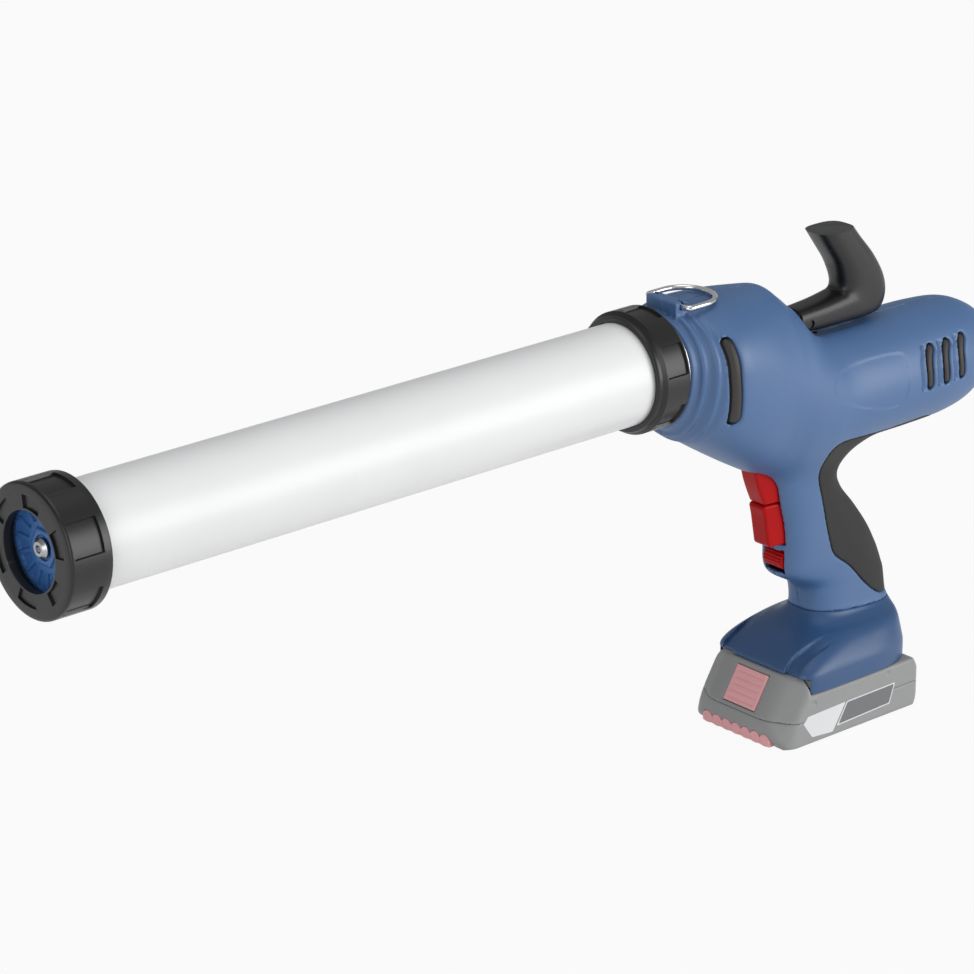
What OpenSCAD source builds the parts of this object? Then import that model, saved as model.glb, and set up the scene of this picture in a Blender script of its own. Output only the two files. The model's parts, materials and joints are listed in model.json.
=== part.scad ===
// Cordless caulking tool for 600 ml foil packs, in millimetres.
// The origin is on the barrel axis at the front face of the front cap, where the nozzle leaves.
// +X runs to the rear along the barrel, +Z is up, and the tool's left side faces -Y.

/* [Barrel] */
// Outside diameter of the barrel tube
barrel_d = 55; // [53:0.5:58]
// Wall of the barrel tube
barrel_wall = 1.5; // [1.2:0.1:2.5]
// Rear end of the barrel tube
barrel_end = 380; // [378:1:382]
// Width of the flange at the tube's rear end
flange_w = 2; // [1.5:0.1:2.4]
// Height of the flange above the tube
flange_h = 1.5; // [1:0.1:1.6]

/* [Front cap] */
// Length of the front cap
cap_len = 24; // [20:1:30]
// Thickness of the cap's wall round the tube
cap_wall = 6.15; // [5:0.05:7]
// Thickness of the cap's front wall
cap_front = 4; // [3:0.5:5]
// Diameter of the hole that the nozzle passes
nozzle_hole_d = 40.4; // [36:0.2:44]
// Number of grip panels round the cap
cap_panels = 10; // [8:2:12]
// Depth of the recessed panels
panel_depth = 1.3; // [0.6:0.1:2]
// Angle where the first recessed panel starts
panel_start = 66; // [0:1:72]

/* [Union nut] */
// Length of the union nut
nut_len = 22; // [18:1:24]
// Thickness of the nut's wall round the thread
nut_wall = 3.6; // [3:0.1:5]
// Thickness of the lip that holds the tube's flange
nut_lip = 3.4; // [2:0.2:3.6]

/* [Piston and rod] */
// Gap between the cap's front wall and the piston
piston_setback = 5.5; // [5:0.5:8]
// Length of the piston
piston_len = 22; // [18:1:24]
// Thickness of the piston's front disc
piston_disc = 4; // [3:0.5:6]
// Width of the push rod
rod_w = 12; // [11:0.5:13]
// Height of the push rod
rod_h = 11; // [10:0.5:12]
// Rear end of the push rod
rod_end = 513; // [510:1:520]
// Travel of the rod and piston
rod_travel = 345; // [300:5:345]

/* [Gears] */
// Module of the rack, its pinion and the spur gears
tooth_module = 1.5; // [1.4:0.05:1.55]
// Teeth of the drive pinion
pinion_teeth = 14; // [13:1:15]
// Teeth of the spur pinion
spur_teeth = 12; // [11:1:13]
// Teeth of the drive gear
drive_teeth = 24; // [22:1:25]
// Module of the bevel gears at their heel
bevel_module = 1.6; // [1.5:0.05:1.65]
// Teeth of the bevel pinion
bevel_pinion_teeth = 12; // [11:1:13]
// Teeth of the bevel gear
bevel_gear_teeth = 24; // [22:1:25]
// Module of the planetary stage
planet_module = 0.8; // [0.75:0.05:0.85]
// Teeth of the sun gear
sun_teeth = 12; // [12:12:12]
// Teeth of each planet gear
planet_teeth = 18; // [18:18:18]
// Play between meshing flanks
backlash = 0.08; // [0.05:0.01:0.12]
// Place of the pinion shaft along the tool
pinion_x = 470; // [468:0.5:471]

/* [Motor] */
// Outside diameter of the motor can
motor_d = 37; // [34:1:38]
// Length of the motor can
motor_len = 56; // [50:1:58]
// Diameter of the motor shaft
motor_shaft_d = 5; // [4:0.5:5.5]
// Diameter of the cooling fan
fan_d = 47; // [40:1:50]

/* [Housing] */
// Wall of the plastic shells
wall = 2.6; // [2:0.1:3.2]
// Thickness of the rubber grip
grip_depth = 1.5; // [1:0.1:1.8]
// Height of the seam between handle and foot
seam_z = -167; // [-169:0.5:-165]
// Wire diameter of the hanging ring
ring_wire = 3; // [2.5:0.1:3.4]

/* [Triggers] */
// Width of both triggers
trigger_w = 16; // [14:0.5:17]
// Travel of the triggers
trigger_travel = 5; // [3:0.5:5.5]
// Diameter of the speed dial
dial_d = 14; // [12:0.5:14]

/* [Battery] */
// Front end of the battery
battery_front = 465; // [463:0.5:467]
// Rear end of the battery
battery_back = 573; // [571:0.5:575]
// Base of the battery
battery_base = -230; // [-234:0.5:-229]
// Diameter of one cell
cell_d = 18.3; // [18:0.1:18.4]
// Length of one cell
cell_len = 65; // [64:0.5:66]
// Wall of the battery case
battery_wall = 2.4; // [2:0.1:2.6]

/* [Fits] */
// Gap of a part that slides or turns by hand
slide_gap = 0.3; // [0.2:0.05:0.4]
// Radial gap of a shaft in its bearing
run_gap = 0.04; // [0.02:0.01:0.08]

/* [Hidden] */
$fn = 72;
// Sides of the round parts inside the lofted shells
shell_fn = 24;

barrel_r = barrel_d / 2;
barrel_in = barrel_r - barrel_wall;
// Room beside a cell for its contact, the case and the foot
cell_side = 5;
// Half width of the foot and the battery
foot_half = cell_len / 2 + cell_side;
ring_points = 32;
handle_points = 28;

// Key sections of the body from nose to tail:
// [place along X, top, bottom, half width, height of the widest line, roundness]
body_keys = [
    [399, 31.5, -31.5, 31.5, 0, 2],
    [404, 32, -33, 32.5, 0, 2],
    [408, 31.5, -37.5, 37, 0, 2],
    [416, 30.5, -45, 41, -1, 2.1],
    [432, 30.5, -56, 42, -3, 2.2],
    [450, 30, -67.5, 40.5, -9, 2.2],
    [468, 28.5, -79, 38, -18, 2.2],
    [488, 17.5, -84, 36, -30, 2.3],
    [507, 3.5, -82, 34.5, -38, 2.3],
    [521, -6.5, -78, 33.5, -41.5, 2],
    [545, -8, -75.5, 33.5, -41.5, 2],
    [575, -8.5, -75.5, 33, -41.5, 2],
    [600, -9, -74, 32, -41.5, 2],
    [620, -10.5, -70, 29, -41, 2],
    [634, -15, -63.5, 23.5, -40.5, 2],
    [643, -21.5, -56, 16.5, -40, 2],
    [648, -30, -49, 9, -39.5, 2]
];
nose_x = body_keys[0][0];
tail_end = body_keys[len(body_keys) - 1][0];
// Behind this place the cavity's end draws forward
tail_start = 600;
// Key sections of the handle from top to bottom:
// [height, front, back, half width, place of the widest line, roundness in front, roundness behind]
handle_keys = [
    [-50, 476, 560, 24, 515, 2.4, 2.2],
    [-66, 480, 553, 22, 512, 2.4, 2.2],
    [-77, 481.5, 541, 19.5, 510, 2.5, 2.2],
    [-87, 483, 531.5, 18, 511, 2.5, 2.2],
    [-98, 485, 535, 17.5, 514, 2.5, 2.2],
    [-112, 487.5, 547, 17.5, 522, 2.5, 2.2],
    [-126, 488.5, 557.5, 18, 530, 2.5, 2.2],
    [-136, 489.5, 563.5, 18, 535, 2.5, 2.2],
    [-142, 493, 567, 17.5, 538, 2.5, 2.2],
    [-148, 505, 569.5, 17.5, 540, 2.5, 2.2],
    [-154, 510, 571.5, 17.5, 541, 2.5, 2.3],
    [-167, 511.5, 573.5, 18, 542, 2.6, 2.3]
];
// Key sections of the foot from top to bottom, written like the handle's
foot_keys = [
    [-167, 511.5, 573.5, 18, 542, 2.6, 2.3],
    [-173, 506, 574, 22, 541, 2.8, 2.4],
    [-179, 496, 574, foot_half - 7.5, 536, 3.2, 2.6],
    [-184, 487, 574, foot_half - 2.5, 528, 4.6, 2.9],
    [-188.5, 482.5, 574, foot_half - 0.3, 524, 6, 3.1],
    [-192.5, 481.5, 574, foot_half, 524, 7, 3.2],
    [-201, 481.5, 574, foot_half, 524, 7, 3.2]
];

// A smooth curve through four neighbouring keys, at the share t between the middle two
function curve(a, b, c, d, t) =
    0.5 * (2 * b + (c - a) * t + (2 * a - 5 * b + 4 * c - d) * t * t
        + (3 * b - a - 3 * c + d) * t * t * t);
// Keys filled up with the given number of steps between each pair
function filled(keys, steps) = [
    for (i = [0 : len(keys) - 2], j = [0 : steps - 1])
        curve(keys[max(i - 1, 0)], keys[i], keys[i + 1], keys[min(i + 2, len(keys) - 1)], j / steps),
    keys[len(keys) - 1]
];
// One point of an oval whose upper and lower halves differ, at angle a
function oval_point(half, up, down, e, a) = [
    half * sign(cos(a)) * pow(abs(cos(a)), 2 / e),
    (sin(a) >= 0 ? up : down) * sign(sin(a)) * pow(abs(sin(a)), 2 / e)
];
function body_ring(k) = [
    for (i = [0 : ring_points - 1])
        let (p = oval_point(k[3], k[1] - k[4], k[4] - k[2], k[5], 360 * i / ring_points))
            [k[0], p[0], k[4] + p[1]]
];
function handle_ring(k) = [
    for (i = [0 : handle_points - 1])
        let (a = 360 * i / handle_points, e = sin(a) < 0 ? k[5] : k[6])
            let (p = oval_point(k[3], k[2] - k[4], k[4] - k[1], e, a))
                [k[4] + p[1], p[0], k[0]]
];
// The same sections with every side moved in by a wall
function body_inset(keys, t) = [for (k = keys) [k[0], k[1] - t, k[2] + t, k[3] - t, k[4], k[5]]];
function handle_inset(keys, t) = [for (k = keys) [k[0], k[1] + t, k[2] - t, k[3] - t, k[4], k[5], k[6]]];

// A closed solid through a list of rings that have the same number of points
module loft(rings) {
    n = len(rings[0]);
    last = len(rings) - 1;
    polyhedron(
        points = [for (r = rings) each r],
        faces = concat(
            [[for (i = [0 : n - 1]) i]],
            [[for (i = [n - 1 : -1 : 0]) last * n + i]],
            [for (j = [0 : last - 1], i = [0 : n - 1])
                [j * n + i, (j + 1) * n + i, (j + 1) * n + (i + 1) % n]],
            [for (j = [0 : last - 1], i = [0 : n - 1])
                [j * n + i, (j + 1) * n + (i + 1) % n, j * n + (i + 1) % n]]));
}
// The tail of the cavity draws forward with the wall, so that the domed end stays closed
function cavity_keys(t) = [
    for (k = body_inset(body_keys, t))
        [k[0] - t * min(1, max(0, (k[0] - tail_start) / (tail_end - tail_start))), k[1], k[2], k[3], k[4], k[5]]
];
module body_form(t = 0) {
    loft([for (k = filled(t > 0 ? cavity_keys(t) : body_inset(body_keys, t), 2)) body_ring(k)]);
}
module handle_form(t = 0) {
    loft([for (k = filled(handle_inset(handle_keys, t), 2)) handle_ring(k)]);
}
module foot_form(t = 0) {
    loft([for (k = filled(handle_inset(foot_keys, t), 2)) handle_ring(k)]);
}
module outer_form(t = 0) {
    body_form(t);
    handle_form(t);
}
// The skin between two depths below the outer surface
module skin(from, to) {
    difference() {
        outer_form(from);
        outer_form(to);
    }
}

// Placing helpers: a part drawn along Z turned to lie along X or along Y
module along_x(x = 0) {
    translate([x, 0, 0]) rotate([90, 0, 90]) children();
}
// A tube or rod along X between two places
module rod_x(x0, x1, r, z = 0, y = 0) {
    translate([x0, y, z]) rotate([0, 90, 0]) cylinder(h = x1 - x0, r = r);
}
// A rod along Y between two places
module rod_y(y0, y1, r, x = 0, z = 0) {
    translate([x, y0, z]) rotate([-90, 0, 0]) cylinder(h = y1 - y0, r = r);
}
module tube_x(x0, x1, outer, inner, z = 0) {
    difference() {
        rod_x(x0, x1, outer, z);
        rod_x(x0 - 1, x1 + 1, inner, z);
    }
}
module tube_y(y0, y1, outer, inner, x = 0, z = 0) {
    difference() {
        rod_y(y0, y1, outer, x, z);
        rod_y(y0 - 1, y1 + 1, inner, x, z);
    }
}
// A box between two corners
module block(a, b) {
    translate(a) cube(b - a);
}
// An outline in X and Z drawn through Y
module side_prism(points, y0, y1) {
    translate([0, y1, 0]) rotate([90, 0, 0]) linear_extrude(y1 - y0) polygon(points);
}
// A rounded rectangle between two corners
module round_rect(a, b, r) {
    for (x = [a[0] + r, b[0] - r], y = [a[1] + r, b[1] - r])
        translate([x, y]) circle(r);
    translate([a[0] + r, a[1]]) square([b[0] - a[0] - 2 * r, b[1] - a[1]]);
    translate([a[0], a[1] + r]) square([b[0] - a[0], b[1] - a[1] - 2 * r]);
}

// Front cap and barrel

cap_r = barrel_r + cap_wall + slide_gap;
cap_bore = barrel_r + slide_gap;
tube_start = cap_front + slide_gap;
panel_angle = 360 / cap_panels;
cap_chamfer = 1.2;
cap_rear_rim = 5;
panel_front_rim = 2.5;
groove_pitch = 3;
groove_depth = 0.4;
module cap_body() {
    difference() {
        along_x() rotate_extrude() polygon([
            [nozzle_hole_d / 2, 0], [cap_r - cap_chamfer, 0], [cap_r, cap_chamfer], [cap_r, cap_len - cap_chamfer],
            [cap_r - cap_chamfer, cap_len], [cap_bore, cap_len], [cap_bore, cap_front], [nozzle_hole_d / 2, cap_front]]);
        for (i = [0 : 2 : cap_panels - 1])
            along_x(panel_front_rim) rotate([0, 0, panel_start + i * panel_angle])
                rotate_extrude(angle = panel_angle)
                    translate([cap_r - panel_depth, 0])
                        square([panel_depth + 1, cap_len - cap_rear_rim - panel_front_rim]);
    }
}
module front_cap() {
    color("#262626") difference() {
        cap_body();
        for (x = [cap_front + 3 : groove_pitch : cap_len - 4])
            tube_x(x, x + 1, cap_bore + groove_depth, cap_bore - 1);
    }
}
module barrel_tube() {
    color("#e6e6e6") difference() {
        union() {
            rod_x(tube_start, barrel_end, barrel_r);
            rod_x(barrel_end - flange_w, barrel_end, barrel_r + flange_h);
        }
        rod_x(tube_start - 1, barrel_end + 1, barrel_in);
        for (x = [cap_front + 3 : groove_pitch : cap_len - 4])
            tube_x(x, x + 1, barrel_r + 1, barrel_r - groove_depth);
    }
}

// Union nut and the socket that it draws the tube against

nut_rear = nose_x - 2.6;
nut_front = nut_rear - nut_len;
nut_bore = barrel_r + flange_h + slide_gap;
nut_r = nut_bore + nut_wall;
socket_front = barrel_end + slide_gap;
socket_r = nut_bore - 0.15;
thread_depth = 0.75;
socket_wall = 4.4;
socket_bore = socket_r - thread_depth - socket_wall;
plate_r = socket_bore + 2.5;
plate_front = 409;
plate_back = 414;
module union_nut() {
    color("#222222") difference() {
        along_x(nut_front) rotate_extrude() polygon([
            [barrel_r + slide_gap, 0], [nut_r - 2.6, 0], [nut_r - 2, 1], [nut_r - 2, 3],
            [nut_r, 4.2], [nut_r, nut_len - 2.2], [nut_r - 1.6, nut_len - 1], [nut_r - 1.6, nut_len],
            [nut_bore, nut_len], [nut_bore, nut_lip], [barrel_r + slide_gap, nut_lip]]);
        for (i = [0 : 2 : cap_panels - 1])
            along_x(nut_front + 5.5) rotate([0, 0, panel_start + i * panel_angle])
                rotate_extrude(angle = panel_angle)
                    translate([nut_r - panel_depth, 0]) square([panel_depth + 1, nut_len - 8.5]);
    }
}
module barrel_socket() {
    color("#b9bcc0") difference() {
        union() {
            rod_x(socket_front, plate_front, socket_r - thread_depth);
            for (x = [socket_front + 2 : groove_pitch : nut_rear - 2]) rod_x(x, x + 1.2, socket_r);
            rod_x(nut_rear + 0.4, nut_rear + 1.8, nut_r - 2.3);
        }
        rod_x(socket_front - 1, plate_front + 1, socket_bore);
    }
}

// Piston, rod and hook handle

piston_front = cap_front + piston_setback;
piston_back = piston_front + piston_len;
piston_r = barrel_in - 0.7;
piston_hub_r = 10.5;
seal_x = piston_front + 11;
seal_w = 4;
seal_depth = 3;
press_gap = 0.02;
rod_front = piston_front + piston_disc + press_gap;
screw_r = 3;
pitch = PI * tooth_module;
rod_half = rod_h / 2;
rack_line = -rod_half + tooth_module;
pinion_r = tooth_module * pinion_teeth / 2;
pinion_z = rack_line - pinion_r;
motor_z = pinion_z - tooth_module * (spur_teeth + drive_teeth) / 2;
module piston() {
    color("#3f6fae") difference() {
        union() {
            tube_x(piston_front, piston_back, piston_r, piston_r - 3);
            rod_x(piston_front, piston_front + piston_disc, piston_r);
            rod_x(piston_front, piston_back, piston_hub_r);
            along_x(piston_front - 1.6) cylinder(h = 2, r = piston_hub_r, $fn = 6);
            for (i = [0 : 7])
                translate([piston_front, 0, 0]) rotate([i * 45, 0, 0])
                    translate([0, piston_hub_r - 1, -0.9])
                        cube([piston_len - 4, piston_r - piston_hub_r - 1, 1.8]);
        }
        tube_x(seal_x - press_gap, seal_x + seal_w + press_gap, piston_r + 1, piston_r - seal_depth + 0.6);
        rod_x(piston_front - 3, piston_front + piston_disc + 1, screw_r + press_gap);
        block([rod_front - press_gap, -rod_w / 2 - press_gap, -rod_half - press_gap],
            [piston_back + 1, rod_w / 2 + press_gap, rod_half + press_gap]);
    }
}
module piston_seal() {
    color("#1d1d1d")
        tube_x(seal_x, seal_x + seal_w, barrel_in - 0.08, piston_r - seal_depth + 0.6 + press_gap);
}
screw_head_r = 5.2;
screw_head_h = 2.6;
module piston_screw() {
    x0 = piston_front - 1.6 - screw_head_h - press_gap;
    color("#c8c8c8") difference() {
        union() {
            along_x(x0) rotate_extrude() polygon([
                [0, 0], [screw_head_r - 1.6, 0], [screw_head_r, 1.6], [screw_head_r, screw_head_h], [0, screw_head_h]]);
            rod_x(x0 + screw_head_h, piston_back, screw_r);
        }
        along_x(x0 - 1) cylinder(h = 1 + screw_head_h - 0.8, r = 2.3, $fn = 6);
    }
}
// Rack teeth between these two places reach the pinion over the whole travel
rack_from = pinion_x - rod_travel - 3 * pitch;
rack_to = pinion_x + 3 * pitch;
function rack_outline() =
    let (first = ceil((rack_from - pinion_x) / pitch), last = floor((rack_to - pinion_x) / pitch),
        tip = pitch / 4 - tooth_module * tan(20) - backlash / 2,
        root = pitch / 4 + 1.25 * tooth_module * tan(20) - backlash / 2,
        low = -rod_half, high = rack_line + 1.25 * tooth_module)
    concat(
        [[rod_front, rod_half], [rod_front, low], [pinion_x + first * pitch - pitch / 2 - root, low],
            [pinion_x + first * pitch - pitch / 2 - root, high]],
        [for (i = [first : last]) let (x = pinion_x + (i + 0.5) * pitch)
            each [[x - root, high], [x - tip, low], [x + tip, low], [x + root, high]]],
        [[pinion_x + (last + 1.5) * pitch - root, high], [pinion_x + (last + 1.5) * pitch - root, low],
            [rod_end, low], [rod_end, rod_half]]);
module push_rod() {
    color("#b4b6b8") difference() {
        side_prism(rack_outline(), -rod_w / 2, rod_w / 2);
        rod_x(rod_front - 1, piston_back + 1, screw_r);
        rod_y(-rod_w, rod_w, bolt_r, hook_bolt_x, 0);
    }
}
bolt_r = 2.5;
bolt_half = 8;
hook_bolt_x = rod_end - 6;
hook_tip_z = 47.5;
// The hook from the rod to its tip:
// [inner edge x, inner edge z, outer edge x, outer edge z, half width]
hook_keys = [
    [501, 8.4, 501, -6.2, 8.8],
    [518, 9.6, 518, -6.3, 9.4],
    [530.5, 11.4, 537, -6.4, 10],
    [535, 12.7, 550, -6.4, 10.3],
    [536.3, 14, 560.5, -3.6, 10.3],
    [536.6, 16, 566, 4, 10.3],
    [535.6, 18.6, 565.5, 14.5, 10.3],
    [533.2, 22, 558, 27, 10.3],
    [528.4, 29, 545.8, 42, 10.3],
    [520.5, 40, 537.2, 52.6, 10.3],
    [513.3, 50, 529.4, 62.2, 10.3]
];
hook_points = 24;
hook_roundness = 2.4;
function hook_ring(k) = [
    for (i = [0 : hook_points - 1])
        let (p = oval_point(k[4], 0.5, 0.5, hook_roundness, 360 * i / hook_points))
            [(k[0] + k[2]) / 2 + p[1] * (k[0] - k[2]), p[0], (k[1] + k[3]) / 2 + p[1] * (k[1] - k[3])]
];
module hook_handle() {
    color("#232323") difference() {
        intersection() {
            loft([for (k = filled(hook_keys, 2)) hook_ring(k)]);
            block([490, -20, -20], [600, 20, hook_tip_z]);
        }
        block([480, -rod_w / 2 - press_gap, -rod_half - press_gap], [rod_end + press_gap, rod_w / 2 + press_gap, rod_half + press_gap]);
        rod_y(-20, 20, bolt_r, hook_bolt_x, 0);
    }
}
module hook_bolt() {
    color("#8f8f8f") rod_y(-bolt_half, bolt_half, bolt_r - press_gap, hook_bolt_x, 0);
}

// Housing shells

motor_r = motor_d / 2;
case_r = 25;
block_half = 12.5;
ring_x = 409;
ring_z = 32.3;
ring_bore = ring_wire / 2 + slide_gap;
hook_pocket = 10.9;
// Housing screws at [x, z, where the head seats along Y]
screw_spots = [[430, -45, 14], [448, 21.5, 12], [514, -12.5, 12], [560, -65.4, 12], [592, -65.6, 12],
    [576, -16, 12], [525.4, -94, 9], [553, -140, 9], [519, -155, 9]];
screw_pilot = 1.4;
boss_r = 3.6;
head_r = 2.9;
slot_middle = [[427.5, 17], [422.8, 7], [421.2, -5], [423.4, -18], [428.2, -31]];
slot_half = 3.9;
function stroke(points, w) = concat(
    [for (p = points) [p[0] - w, p[1]]],
    [let (p = points[len(points) - 1]) [p[0], p[1] - w]],
    [for (i = [len(points) - 1 : -1 : 0]) [points[i][0] + w, points[i][1]]],
    [[points[0][0], points[0][1] + w]]);
vent_first = 578.4;
vent_step = 12.8;
vent_top = -23.5;
vent_bottom = -48;
vent_half = 2.7;
// Outline of the rubber grip, seen from the side
grip_edge = filled([[606, -73.5], [588, -70.5], [569, -69], [533, -65], [516, -65.5], [508.6, -71], [508, -82],
    [510.4, -98.6], [516.8, -123.6], [521.1, -133.5], [533.2, -143.1], [544.1, -154.7], [552.9, -162],
    [562, -165], [578, -164.6]], 3);
module grip_region() {
    side_prism(concat(grip_edge, [[640, -164.6], [640, -73.5]]), -60, 60);
}
module slot_prism() {
    side_prism(stroke(filled(slot_middle, 3), slot_half), -60, 60);
}
module vent_prisms() {
    for (i = [0 : 2])
        translate([vent_first + i * vent_step, 60, 0]) rotate([90, 0, 0]) linear_extrude(120)
            round_rect([-vent_half, vent_bottom], [vent_half, vent_top], vent_half - 0.01, $fn = 12);
}
rib_gap = 0.4;
// Ribs that carry the motor and the gearbox case
module ribs() {
    intersection() {
        body_form(wall / 2);
        union() {
            difference() {
                block([528, -60, -75], [531, 60, 0]);
                rod_x(520, 540, case_r + rib_gap, motor_z);
            }
            difference() {
                for (x = [567, 601]) block([x, -60, -80], [x + 3, 60, 0]);
                rod_x(560, 620, motor_r + rib_gap, motor_z);
            }
        }
    }
}
module bosses() {
    intersection() {
        outer_form(wall / 2);
        for (s = screw_spots) rod_y(-60, 60, boss_r, s[0], s[1]);
    }
}
dial_x = 489.5 + dial_d / 2 - 0.8;
dial_z = -133.4;
dial_half = 7;
dial_pin_r = 2;
dial_pin_half = 10.4;
// Middle and half height of the window in front of the dial
window_z = -134.2;
window_half = 4.8;
// The closed shell of both halves; a zero size keeps each length, so this only joins the lofts
module shell(y0, y1) {
    resize([0, 0, 0]) intersection() {
        block([390, y0, -300], [700, y1, 100]);
        shell_body($fn = shell_fn);
    }
}
module shell_body() {
    difference() {
        union() {
            difference() {
                union() {
                    outer_form();
                    block([ring_x - 5.5, -block_half, 20], [ring_x + 5.5, block_half, ring_z + 3.9]);
                }
                intersection() {
                    outer_form(wall);
                    block([nose_x + wall, -100, -300], [700, 100, 100]);
                }
            }
            ribs();
            bosses();
        }
        block([500, -15, seam_z - 1], [562, 15, seam_z + wall + 1]);
        block([466, -trigger_w / 2 - slide_gap, lower_trigger_z - slide_gap], [500, trigger_w / 2 + slide_gap, -76]);
        block([480, -dial_half - 0.8, window_z - window_half], [dial_x, dial_half + 0.8, window_z + window_half]);
        rod_y(-dial_half - slide_gap, dial_half + slide_gap, dial_d / 2 + slide_gap + 0.1, dial_x, dial_z);
        block([485, -hook_pocket, -7], [535, hook_pocket, 12.6]);
        intersection() {
            skin(-3, grip_depth);
            grip_region();
        }
        slot_prism();
        vent_prisms();
    }
}
module shell_bores() {
    rod_x(nose_x - 1, nose_x + wall + 1, socket_r + 0.2);
    rod_y(-60, -block_half + 5, ring_bore, ring_x, ring_z);
    rod_y(block_half - 5, 60, ring_bore, ring_x, ring_z);
    rod_y(-dial_pin_half - press_gap, dial_pin_half + press_gap, dial_pin_r + press_gap, dial_x, dial_z);
}
module left_housing() {
    color("#3f6290") difference() {
        shell(-100, 0);
        shell_bores();
        for (s = screw_spots) rod_y(-s[2] - 0.5, 1, screw_pilot, s[0], s[1]);
    }
}
module right_housing() {
    color("#3f6290") difference() {
        shell(0, 100);
        shell_bores();
        for (s = screw_spots) {
            rod_y(-1, s[2] + 1, screw_pilot + 0.2, s[0], s[1]);
            rod_y(s[2], 60, head_r + 0.2, s[0], s[1]);
        }
    }
}
module housing_screws() {
    color("#4a4a4a") for (s = screw_spots) difference() {
        union() {
            rod_y(-s[2], s[2] + 0.1, screw_pilot - press_gap, s[0], s[1]);
            rod_y(s[2] + press_gap, s[2] + 2.6, head_r, s[0], s[1]);
        }
        rod_y(s[2] + 1, s[2] + 4, 1.3, s[0], s[1]);
    }
}
module grip_skin(y0, y1) {
    resize([0, 0, 0]) intersection() {
        skin(0, grip_depth);
        grip_region();
        block([390, y0, -300], [700, y1, 100]);
    }
}
module left_grip() {
    color("#454342") grip_skin(-100, 0);
}
module right_grip() {
    color("#454342") difference() {
        grip_skin(0, 100);
        for (s = screw_spots) rod_y(s[2], 60, head_r + 0.2, s[0], s[1]);
    }
}
module slot_trims() {
    color("#2b2625") resize([0, 0, 0]) intersection() {
        difference() {
            body_form(-0.5);
            body_form(wall - 0.5);
        }
        slot_prism();
    }
}
module vent_trims() {
    color("#2b2625") resize([0, 0, 0]) intersection() {
        difference() {
            body_form(0.3);
            body_form(wall - 0.5);
        }
        vent_prisms();
    }
}
ring_half = 16;
ring_bend = 2.5;
ring_leg = 12;
module hang_ring() {
    w = ring_wire / 2;
    color("#c9c9c9") translate([ring_x, 0, ring_z]) for (side = [-1, 1]) scale([1, side, 1]) union() {
        rod_y(block_half - 4.5, ring_half - ring_bend, w);
        translate([ring_bend, ring_half - ring_bend, 0]) rotate([0, 0, 90])
            rotate_extrude(angle = 90) translate([ring_bend, 0]) circle(w, $fn = 24);
        rod_x(ring_bend, ring_leg, w, 0, ring_half);
        translate([ring_leg, 0, 0]) rotate_extrude(angle = 90) translate([ring_half, 0]) circle(w, $fn = 24);
    }
}

// Foot that carries the battery

foot_bottom = -201;
lip_bottom = -192.5;
lip_back = 487;
tongue_top = foot_bottom + 2.7;
tongue_in = foot_half - 6.5;
// The slanted flats beside the battery's sloped front start here on each side
flat_start = foot_half - 16.5;
// The hood's lip stands this wide on each side, in front of the side lobes
lip_half = flat_start + 0.5;
lobe_front = 485.4;
rail_front = 488;
rail_back = 540;
rail_half = foot_half - 3.5;
cover_top = -193.8;
module battery_foot() {
    color("#2f4f7c") resize([0, 0, 0]) union() {
        difference() {
            foot_form();
            intersection() {
                foot_form(wall);
                block([400, -60, foot_bottom - 1], [700, 60, seam_z - wall - 2.5]);
            }
            block([400, -foot_half + wall, foot_bottom - 1], [500, foot_half - wall, lip_bottom]);
            block([400, -60, foot_bottom - 1], [lip_back + slide_gap, 60, lip_bottom]);
            block([512, -14, seam_z - 20], [562, 14, seam_z + 1]);
            for (side = [-1, 1]) scale([1, side, 1]) block([400, lip_half, foot_bottom - 1], [lobe_front, 60, seam_z]);
        }
        for (side = [-1, 1]) scale([1, side, 1])
            block([rail_front, tongue_in, foot_bottom], [rail_back, foot_half - wall + 1, tongue_top]);
    }
}

// Triggers, switch and speed dial

upper_trigger_top = -77.5;
trigger_split = -103.6;
lower_trigger_z = -123;
trigger_back = 497;
spring_r = 2.6;
switch_front = trigger_back + trigger_travel + slide_gap;
spring_places = [-90, -113];
spring_pocket = 6;
// Behind this place a trigger has its full width, and in front it narrows to its face
trigger_cheek = 484;
trigger_tip = 471;
trigger_face = 9;
module trigger_plan() {
    w = trigger_w / 2;
    f = trigger_face / 2;
    linear_extrude(60)
        polygon([[trigger_back, -w], [trigger_back, w], [trigger_cheek, w], [trigger_tip, f], [trigger_tip, -f],
            [trigger_cheek, -w]]);
}
module trigger(points, spring_z) {
    color("#b81f1f") difference() {
        intersection() {
            side_prism(points, -trigger_w / 2, trigger_w / 2);
            translate([0, 0, lower_trigger_z - 5]) trigger_plan();
        }
        rod_x(trigger_back - spring_pocket, trigger_back + 1, spring_r + 0.4, spring_z);
    }
}
module upper_trigger() {
    trigger([[trigger_back, upper_trigger_top], [471.8, upper_trigger_top], [473.6, -86], [476.8, -95],
        [479.3, -100.5], [478.8, trigger_split + slide_gap], [trigger_back, trigger_split + slide_gap]],
        spring_places[0]);
}
module lower_trigger() {
    trigger([[trigger_back, trigger_split - slide_gap], [479.3, trigger_split - slide_gap], [478.6, -106], [481, -112],
        [482.6, -118], [483, lower_trigger_z + 1], [484, lower_trigger_z], [trigger_back, lower_trigger_z]],
        spring_places[1]);
}
spring_wire = 0.6;
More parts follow.
